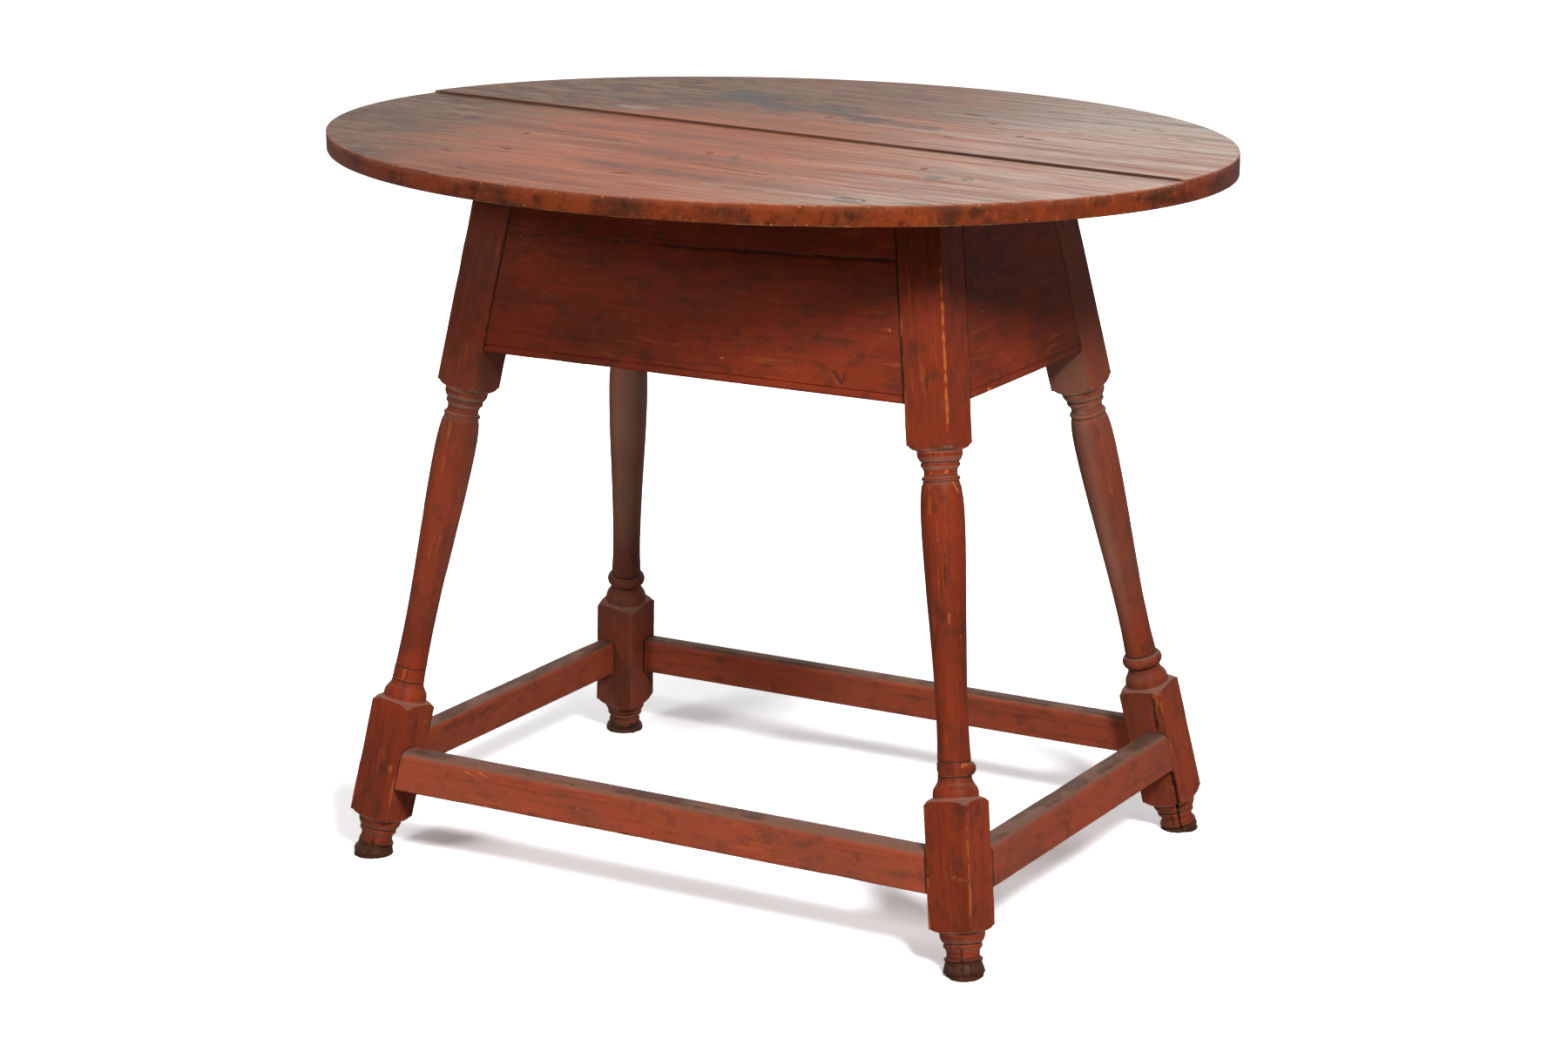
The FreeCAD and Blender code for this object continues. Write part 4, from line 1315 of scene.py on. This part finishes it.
class Rail:
    """A solid rail of the frame, measured so that it can be drawn again with fine faces."""

    def __init__(self, node):
        low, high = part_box(node)
        self.axis = 0 if node.endswith(("front", "back")) else 1
        self.other = 1 - self.axis
        self.low = low[self.axis]
        self.high = high[self.axis]
        self.shape = bmesh.new()
        self.shape.from_mesh(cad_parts[node].data)
        bmesh.ops.remove_doubles(self.shape, verts=self.shape.verts, dist=WELD)
        self.tree = BVHTree.FromBMesh(self.shape)
        self.middle = (self.low + self.high) / 2

    def section(self, place):
        """The outline of the cut across the rail at one place, as level distance and height."""
        cut = self.shape.copy()
        normal = Vector((0, 0, 0))
        normal[self.axis] = 1
        bmesh.ops.bisect_plane(
            cut, geom=cut.verts[:] + cut.edges[:] + cut.faces[:], dist=WELD,
            plane_co=normal * place, plane_no=normal, clear_inner=True, clear_outer=True,
        )
        bmesh.ops.remove_doubles(cut, verts=cut.verts, dist=WELD)
        trail = [cut.verts[:][0]]
        before = None
        while True:
            here = trail[-1]
            onward = [edge.other_vert(here) for edge in here.link_edges]
            onward = [vertex for vertex in onward if vertex is not before]
            if not onward or onward[0] is trail[0]:
                break
            before = here
            trail.append(onward[0])
        outline = np.array([(vertex.co[self.other], vertex.co.z) for vertex in trail])
        cut.free()
        level, height = outline.T
        if np.sum(level * np.roll(height, -1) - np.roll(level, -1) * height) < 0:
            outline = outline[::-1]
        start = np.argmin(outline.sum(axis=1))
        return np.roll(outline, -start, axis=0)

    def end_plane(self, outline, inward, direction):
        """Where the rail's shoulder meets each point of the outline, on one flat face."""
        inset = outline + PROBE_INSET * inward
        ray = Vector((0, 0, 0))
        ray[self.axis] = direction
        hits = np.full(len(inset), np.nan)
        for number, (level, height) in enumerate(inset):
            origin = Vector((0, 0, height))
            origin[self.axis] = self.middle
            origin[self.other] = level
            hit = self.tree.ray_cast(origin, ray)[0]
            if hit:
                hits[number] = hit[self.axis]
        inset, hits = inset[~np.isnan(hits)], hits[~np.isnan(hits)]
        terms = np.column_stack([np.ones(len(inset)), inset])
        kept = direction * hits < np.percentile(direction * hits, 60) + SHOULDER_SLANT
        for _ in range(3):
            factors = np.linalg.lstsq(terms[kept], hits[kept], rcond=None)[0]
            off = np.abs(terms @ factors - hits)
            kept = off < SHOULDER_FLATNESS + np.median(off)
        return np.column_stack([np.ones(len(outline)), outline]) @ factors

    def places(self, along, outline):
        """Points in the table's frame from places along the rail and an outline."""
        points = np.empty((len(outline), 3))
        points[:, self.axis] = along
        points[:, self.other] = outline[:, 0]
        points[:, 2] = outline[:, 1]
        return points


def evenly(outline, step, crack_zone):
    """An outline with points added, no further apart than the step, closer where a split runs."""
    points = []
    for here, onward in zip(outline, np.roll(outline, -1, axis=0)):
        rising = onward[1] - here[1]
        cuts = [0.0, 1.0]
        if crack_zone and here[0] < outline[:, 0].mean():
            crossings = [(height - here[1]) / rising for height in crack_zone]
            cuts += [part for part in crossings if 0 < part < 1]
        cuts.sort()
        for first, last in zip(cuts, cuts[1:]):
            fine = len(cuts) > 2 and first > 0 and last < 1
            length = np.linalg.norm(onward - here) * (last - first)
            count = max(1, math.ceil(length / (step / 3 if fine else step)))
            shares = first + (last - first) * np.arange(count) / count
            points.extend(here + (onward - here) * part for part in shares)
    return np.array(points)


def spaced(outline, count):
    """As many points as the count, at even distances round an outline."""
    closed = np.vstack([outline, outline[:1]])
    walked = np.concatenate([[0], np.cumsum(np.linalg.norm(np.diff(closed, axis=0), axis=1))])
    wanted = np.linspace(0, walked[-1], count, endpoint=False)
    return np.column_stack([np.interp(wanted, walked, closed[:, part]) for part in (0, 1)])


def inward_normals(outline):
    """Directions into a closed outline that runs anticlockwise."""
    run = np.roll(outline, -1, axis=0) - np.roll(outline, 1, axis=0)
    normal = np.column_stack([-run[:, 1], run[:, 0]])
    return normal / np.linalg.norm(normal, axis=1)[:, None]


def softened(outline, rounds):
    """An outline with its corners rubbed round."""
    for _ in range(rounds):
        middle = (np.roll(outline, 1, axis=0) + np.roll(outline, -1, axis=0)) / 2
        outline = outline + 0.5 * (middle - outline)
    return outline


def rail_mesh(node, look, seed, crack_zone=()):
    """A rail with fine faces between its shoulders and a tenon at each end."""
    rail = Rail(node)
    outline = evenly(rail.section(rail.middle), look.rail_mesh_size, crack_zone)
    inward = inward_normals(outline)
    low_end = rail.end_plane(outline, inward, -1)
    high_end = rail.end_plane(outline, inward, 1)
    count = math.ceil((high_end.mean() - low_end.mean()) / look.rail_mesh_length)
    soft = softened(outline, 3)
    softer = softened(outline, 9)
    gap = look.shoulder_gap
    rings = []
    for end, past in ((low_end, rail.low), (high_end, rail.high)):
        sign = math.copysign(1, past - end.mean())
        tenon = spaced(rail.section(past - sign * TENON_PROBE), len(outline))
        shoulder = outline + 1.2 * gap * inward
        rings.append([
            rail.places(np.full(len(outline), past), tenon),
            rail.places(np.full(len(outline), end.mean()), tenon),
            rail.places(end, shoulder),
        ])
    low_rings, high_rings = rings
    body = []
    shares = np.linspace(0, 1, count + 1)
    span = high_end - low_end
    for part in shares:
        along = low_end + gap + (span - 2 * gap) * part
        probe = rail.places(along, outline)
        blend = rise(layered_noise(probe, 0.03, seed), 0.3, 0.7)[:, None]
        body.append(rail.places(along, soft + (softer - soft) * blend))
    everything = low_rings + body + high_rings[::-1]
    points = np.concatenate(everything)
    size = len(outline)
    faces = []
    for ring in range(len(everything) - 1):
        first = ring * size + np.arange(size)
        second = first + size
        quads = np.stack([first, np.roll(first, -1), np.roll(second, -1), second], axis=-1)
        faces.extend(quads.tolist())
    faces.append(list(range(size)))
    faces.append(list(range(len(points) - size, len(points))))
    mesh = bpy.data.meshes.new(node)
    mesh.from_pydata(points.tolist(), [], faces)
    face_outwards(mesh)
    rail.shape.free()
    from_end = np.minimum(shares, 1 - shares) * span.mean()
    hidden = np.zeros(len(low_rings))
    rail.from_shoulder = np.repeat(np.concatenate([hidden, from_end, hidden]), size)
    return mesh, rail


CRACK_ZONE = (582 * MM, 606 * MM)
RAIL_SCARS = {
    "apron_front": (
        Scar((-206, 585), (-146, 593), 0.9, 0.9, -0.9),
        Scar((-146, 593), (-34, 593), 0.9, 0.9, -0.9),
        Scar((-34, 593), (56, 596), 1.0, 1.0, -1.0),
        Scar((56, 596), (116, 597), 1.1, 1.1, -1.0),
        Scar((116, 597), (202, 601), 1.2, 1.2, -1.0),
        Scar((149, 501), (157, 492), 1.9, 1.4, -1.0),
        Scar((157, 492), (160, 501), 1.7, 1.2, -1.0),
        Scar((-22, 523), (-20, 523), 1.5, 0.6, -0.9),
        Scar((5, 526), (6, 526), 1.3, 0.6, -0.9),
        Scar((-66, 507), (-65, 506), 1.5, 0.6, -0.9),
        Scar((-41, 506), (-40, 506), 1.3, 0.6, -0.9),
        Scar((-51, 493), (-49, 492), 1.5, 0.6, -0.9),
        Scar((34, 501), (36, 501), 0.9, 0.3, 1.2),
        Scar((-156, 480), (-136, 480), 2.2, 0.4, 1.0),
        Scar((-106, 480), (-70, 480), 2.2, 0.4, 0.9),
        Scar((200, 543), (200, 541), 1.0, 0.3, 1.0),
    ),
    "apron_right": (
        Scar((-74, 483), (-71, 483), 2.6, 0.5, 1.2),
        Scar((-72, 579), (-72, 573), 1.4, 0.3, 0.9),
        Scar((40, 500), (70, 498), 1.1, 0.3, -0.6),
    ),
    "apron_back": (
        Scar((-120, 560), (90, 556), 1.6, 0.8, -0.9),
        Scar((30, 520), (36, 512), 1.6, 0.8, -0.9),
    ),
    "stretcher_front": (
        Scar((-205, 101), (-192, 97), 1.3, 0.3, 0.95),
        Scar((-188, 101), (-178, 98), 1.3, 0.3, 0.95),
        Scar((-256, 86), (-205, 89), 2.6, 0.2, 0.42),
        Scar((-206, 71), (-60, 71), 2.2, 0.4, 0.78),
        Scar((-60, 71), (226, 71), 2.0, 0.3, 0.66),
        Scar((-190, 104), (-40, 104), 2.0, 0.2, 0.62),
        Scar((-69, 71), (-67, 72), 2.2, 1.2, -1.0),
        Scar((-30, 71), (-26, 71), 2.0, 1.2, -1.0),
    ),
}


def dress_rail(mesh, node, rail, seed, dusty, fresh):
    """Dents a rail and notes where its paint is worn and grimy."""
    places = vertex_places(mesh)
    local = places[:, (rail.other, 2, rail.axis)]
    bend = bends(mesh)
    normals = vertex_normals(mesh)
    outer = rise(normals[:, rail.other] * math.copysign(1, places[:, rail.other].mean()), -0.1, 0.3)
    sway = SCAR_SWAY * (layered_noise(local, (1, 1, 0.03), seed + 3) - 0.5)
    face = np.column_stack([local[:, 2], local[:, 1] + sway])
    cut, scraped, dark = outer * scarred(face, RAIL_SCARS.get(node, ()), (MM, MM), seed + 7)
    sink = hand_worked(local, RAIL_SURFACE, seed) + cut
    set_vertex_places(mesh, places - normals * sink[:, None])
    patchy = layered_noise(local, RAIL_SURFACE.patch_cell, seed + 9)
    inner = rise(rail.from_shoulder, *SHOULDER_GRIME)
    worn = inner * rise(bend, 0.03, 0.2) * rise(patchy, 0.25, 0.65)
    from_top = places[:, 2].max() - places[:, 2]
    creep = dusty * (1 - rise(from_top, DUST_LEAST, DUST_CREEP * patchy)) * rise(patchy, 0.3, 0.55)
    hollow = np.maximum.reduce([rise(-bend, 0.02, 0.15), 0.8 * (1 - inner), dark, 0.6 * creep])
    soot = dusty * rise(normals[:, 2], 0.1, 0.9)
    bare = np.maximum(0.3 * rise(patchy, 0.74, 0.88), scraped)
    fresh_paint = np.full(len(places), fresh)
    shift = np.array([0.29 * seed, 0.41 * seed, 0.13 * seed])
    keep_values(
        mesh, grain=local + shift, worn=worn, hollow=hollow, soot=soot, bare=bare,
        film=0.1 * fresh_paint, fresh=fresh_paint,
    )


# Operators, one for each group of like pieces

LEG_SEED = 100
ARRIS_SEED = 200
LEG_SEED_STEP = 17
RAIL_DRESS_SEED = 20
RAIL_SEED_STEP = 13
RailKind = namedtuple("RailKind", "seed dusty fresh cracked_side")
RAIL_KINDS = {
    "apron": RailKind(300, 0.3, 0.0, "front"),
    "stretcher": RailKind(400, 0.9, 0.85, None),
}


def red_paint(look):
    """The finish of the frame, made by the first operator that needs it."""
    return bpy.data.materials.get(FRAME_FINISH) or frame_finish(look)


def add_rails(kind, look):
    """Makes the four aprons or the four stretchers."""
    seed, dusty, fresh, cracked_side = RAIL_KINDS[kind]
    for number, side in enumerate(SIDES):
        node = f"{kind}_{side}"
        mesh, rail = rail_mesh(node, look, seed + number, CRACK_ZONE if side == cracked_side else ())
        dress_rail(mesh, node, rail, seed + RAIL_DRESS_SEED + RAIL_SEED_STEP * number, dusty, fresh)
        add_piece(f"{side}_{kind}", mesh, red_paint(look), FRAME_SLOT, node)


class TABLE_OT_top_boards(bpy.types.Operator):
    """Make the two boards of the oval top"""

    bl_idname = "tavern_table.top_boards"
    bl_label = "Top Boards"

    def execute(self, context):
        look = context.scene.table_top
        finish = top_finish(look)
        oval = Oval(look)
        for name, side in (("front", -1), ("back", 1)):
            node = f"top_{name}_board"
            mesh, face_count = board_mesh(node, oval, side, look)
            dress_board(mesh, face_count, oval, side, look, pin_heads(f"top_pins_{name}_board"))
            add_piece(f"{name}_board", mesh, finish, TOP_SLOT, node)
        return {"FINISHED"}


class TABLE_OT_legs(bpy.types.Operator):
    """Make the four turned legs, with their pegs painted over"""

    bl_idname = "tavern_table.legs"
    bl_label = "Legs"

    def execute(self, context):
        look = context.scene.table_frame
        for number, corner in enumerate(CORNERS):
            leg = f"leg_{corner}"
            pegs = (f"apron_pegs_{corner}", f"stretcher_pegs_{corner}")
            turning = TurnedLeg(leg, corner)
            mesh, columns = turned_mesh(leg, turning, look, ARRIS_SEED + LEG_SEED_STEP * number)
            dress_leg(mesh, columns, turning, corner, LEG_SEED + LEG_SEED_STEP * number)
            add_piece(f"turned_leg_{corner}", mesh, red_paint(look), FRAME_SLOT, leg, *pegs)
        return {"FINISHED"}


class TABLE_OT_aprons(bpy.types.Operator):
    """Make the four aprons under the top"""

    bl_idname = "tavern_table.aprons"
    bl_label = "Aprons"

    def execute(self, context):
        add_rails("apron", context.scene.table_frame)
        return {"FINISHED"}


class TABLE_OT_stretchers(bpy.types.Operator):
    """Make the four low stretchers"""

    bl_idname = "tavern_table.stretchers"
    bl_label = "Stretchers"

    def execute(self, context):
        add_rails("stretcher", context.scene.table_frame)
        return {"FINISHED"}


class TABLE_OT_top_pins(bpy.types.Operator):
    """Paint the pins that hold the top"""

    bl_idname = "tavern_table.top_pins"
    bl_label = "Top Pins"

    def execute(self, context):
        finish = pin_finish(context.scene.table_frame)
        for name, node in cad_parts.items():
            if "pins" in name:
                node.data.materials.clear()
                node.data.materials.append(finish)
        return {"FINISHED"}


# Stage

CAMERA_PLACE = Vector((1.7876, -2.9702, 1.2402))
CAMERA_YAW = math.radians(30.91)
CAMERA_PITCH = math.radians(-14.99)
CAMERA_ROLL = math.radians(-0.58)
CAMERA_LENS = 88.75
CAMERA_SENSOR = 36.0
CAMERA_FAR = 100.0
GLOW_STARTS, GLOW_FULL = 0.45, 0.92
FLOOR_BOUNCE = 0.35
LAMP_TARGET = Vector((0, 0, 0.4))
Lamp = namedtuple("Lamp", "name place width height glints")
LAMPS = (
    Lamp("key", (2.59, -2.22, 2.85), 0.75, 0.75, True),
    Lamp("fill", (-1.51, -3.47, 2.22), 0.96, 0.96, True),
    Lamp("upper", (0.0, -0.7, 3.9), 2.6, 2.2, True),
    Lamp("back", (-0.5, 3.2, 1.6), 1.8, 1.0, True),
    Lamp("rear", (-1.9, 2.7, 2.1), 1.6, 1.2, False),
)


def add_camera():
    """A camera at the front right corner, a little above the top."""
    level = math.cos(CAMERA_PITCH)
    ahead = Vector((-math.sin(CAMERA_YAW) * level, math.cos(CAMERA_YAW) * level, math.sin(CAMERA_PITCH)))
    right = ahead.cross(Vector((0, 0, 1))).normalized()
    up = right.cross(ahead)
    tilted_right = right * math.cos(CAMERA_ROLL) + up * math.sin(CAMERA_ROLL)
    tilted_up = up * math.cos(CAMERA_ROLL) - right * math.sin(CAMERA_ROLL)
    turn = Matrix((tilted_right, tilted_up, -ahead)).transposed().to_4x4()
    lens = bpy.data.cameras.new("camera")
    lens.lens = CAMERA_LENS
    lens.sensor_width = CAMERA_SENSOR
    lens.clip_end = CAMERA_FAR
    camera = bpy.data.objects.new("camera", lens)
    camera.matrix_world = Matrix.Translation(CAMERA_PLACE) @ turn
    bpy.context.scene.collection.objects.link(camera)
    bpy.context.scene.camera = camera


def add_lamp(lamp, power):
    """A soft lamp that points at the middle of the table."""
    light = bpy.data.lights.new(f"{lamp.name}_lamp", "AREA")
    light.shape = "RECTANGLE"
    light.energy = power
    light.size = lamp.width
    light.size_y = lamp.height
    stand = bpy.data.objects.new(f"{lamp.name}_lamp", light)
    stand.location = lamp.place
    stand.rotation_mode = "QUATERNION"
    stand.rotation_quaternion = (LAMP_TARGET - Vector(lamp.place)).to_track_quat("-Z", "Y")
    stand.visible_glossy = lamp.glints
    bpy.context.scene.collection.objects.link(stand)


def light_world(look):
    """White for the camera and in reflections, fainter as light from all round."""
    world = bpy.data.worlds.new("studio")
    bpy.context.scene.world = world
    tree = NodeTree(world)
    background = tree.nodes["Background"]
    background.inputs["Color"].default_value = (1, 1, 1, 1)
    camera_ray = tree.node("ShaderNodeLightPath", {}, "Is Camera Ray")
    seen = tree.maths("MAXIMUM", camera_ray, camera_ray.node.outputs["Is Glossy Ray"])
    strength = tree.node("ShaderNodeMapRange", {"Value": seen, "To Min": look.ambient, "To Max": 1.0})
    tree.feed(background.inputs["Strength"], strength)


def floor_finish(look):
    """A pale floor, seen white with the table's shadow near it, that throws back little light."""
    material = bpy.data.materials.new("pale_floor")
    tree = NodeTree(material)
    tree.nodes.clear()
    pale = (*look.floor_colour, 1)
    place = tree.node("ShaderNodeTexCoord", {}, "Object")
    away = tree.node("ShaderNodeVectorMath", {0: place}, "Value", operation="LENGTH")
    reach = {"Value": away, "From Min": GLOW_STARTS, "From Max": GLOW_FULL}
    strength = tree.node("ShaderNodeMapRange", reach, interpolation_type="SMOOTHSTEP")
    lit = tree.node("ShaderNodeBsdfDiffuse", {"Color": pale})
    bright = tree.node("ShaderNodeAddShader", {0: lit, 1: lit})
    glow = tree.node("ShaderNodeEmission", {"Color": pale, "Strength": strength})
    seen = tree.node("ShaderNodeAddShader", {0: bright, 1: glow})
    unseen = tree.node("ShaderNodeBsdfDiffuse", {"Color": (*[FLOOR_BOUNCE] * 3, 1)})
    camera_ray = tree.node("ShaderNodeLightPath", {}, "Is Camera Ray")
    choice = tree.node("ShaderNodeMixShader", {"Fac": camera_ray, 1: unseen, 2: seen})
    output = tree.nodes.new("ShaderNodeOutputMaterial")
    tree.feed(output.inputs["Surface"], choice)
    return material


class TABLE_OT_stage(bpy.types.Operator):
    """Set up the floor, the lamps and the camera"""

    bl_idname = "tavern_table.stage"
    bl_label = "Stage"

    def execute(self, context):
        look = context.scene.table_stage
        half = look.floor_width / 2
        mesh = bpy.data.meshes.new("floor")
        corners = [(-half, -half, 0), (half, -half, 0), (half, half, 0), (-half, half, 0)]
        mesh.from_pydata(corners, [], [(0, 1, 2, 3)])
        mesh.materials.append(floor_finish(look))
        floor = bpy.data.objects.new("floor", mesh)
        floor.location.z = CAD_LOW.z
        context.scene.collection.objects.link(floor)
        light_world(look)
        for lamp in LAMPS:
            add_lamp(lamp, getattr(look, f"{lamp.name}_power"))
        add_camera()
        context.scene.view_settings.view_transform = "Standard"
        return {"FINISHED"}


class TABLE_PT_pieces(bpy.types.Panel):
    """Lists the pieces of the table"""

    bl_idname = "TABLE_PT_pieces"
    bl_label = "Tavern Table"
    bl_space_type = "VIEW_3D"
    bl_region_type = "UI"
    bl_category = "Tavern Table"

    def draw(self, context):
        for operator in OPERATORS:
            self.layout.operator(operator.bl_idname)
        for look in (context.scene.table_top, context.scene.table_frame, context.scene.table_stage):
            box = self.layout.box()
            for name in look.__annotations__:
                box.prop(look, name)


LOOKS = {"table_top": TopLook, "table_frame": FrameLook, "table_stage": StageLook}
OPERATORS = (
    TABLE_OT_top_boards,
    TABLE_OT_legs,
    TABLE_OT_aprons,
    TABLE_OT_stretchers,
    TABLE_OT_top_pins,
    TABLE_OT_stage,
)
CLASSES = (*LOOKS.values(), *OPERATORS, TABLE_PT_pieces)


def register():
    """Adds the settings, operators and panel."""
    for kind in CLASSES:
        bpy.utils.register_class(kind)
    for name, kind in LOOKS.items():
        setattr(bpy.types.Scene, name, PointerProperty(type=kind))


def unregister():
    """Removes the settings, operators and panel."""
    for name in LOOKS:
        delattr(bpy.types.Scene, name)
    for kind in reversed(CLASSES):
        bpy.utils.unregister_class(kind)


def main():
    """Builds the table and the stage."""
    register()
    bpy.ops.tavern_table.top_boards()
    bpy.ops.tavern_table.legs()
    bpy.ops.tavern_table.aprons()
    bpy.ops.tavern_table.stretchers()
    bpy.ops.tavern_table.top_pins()
    bpy.ops.tavern_table.stage()


if __name__ == "__main__":
    main()
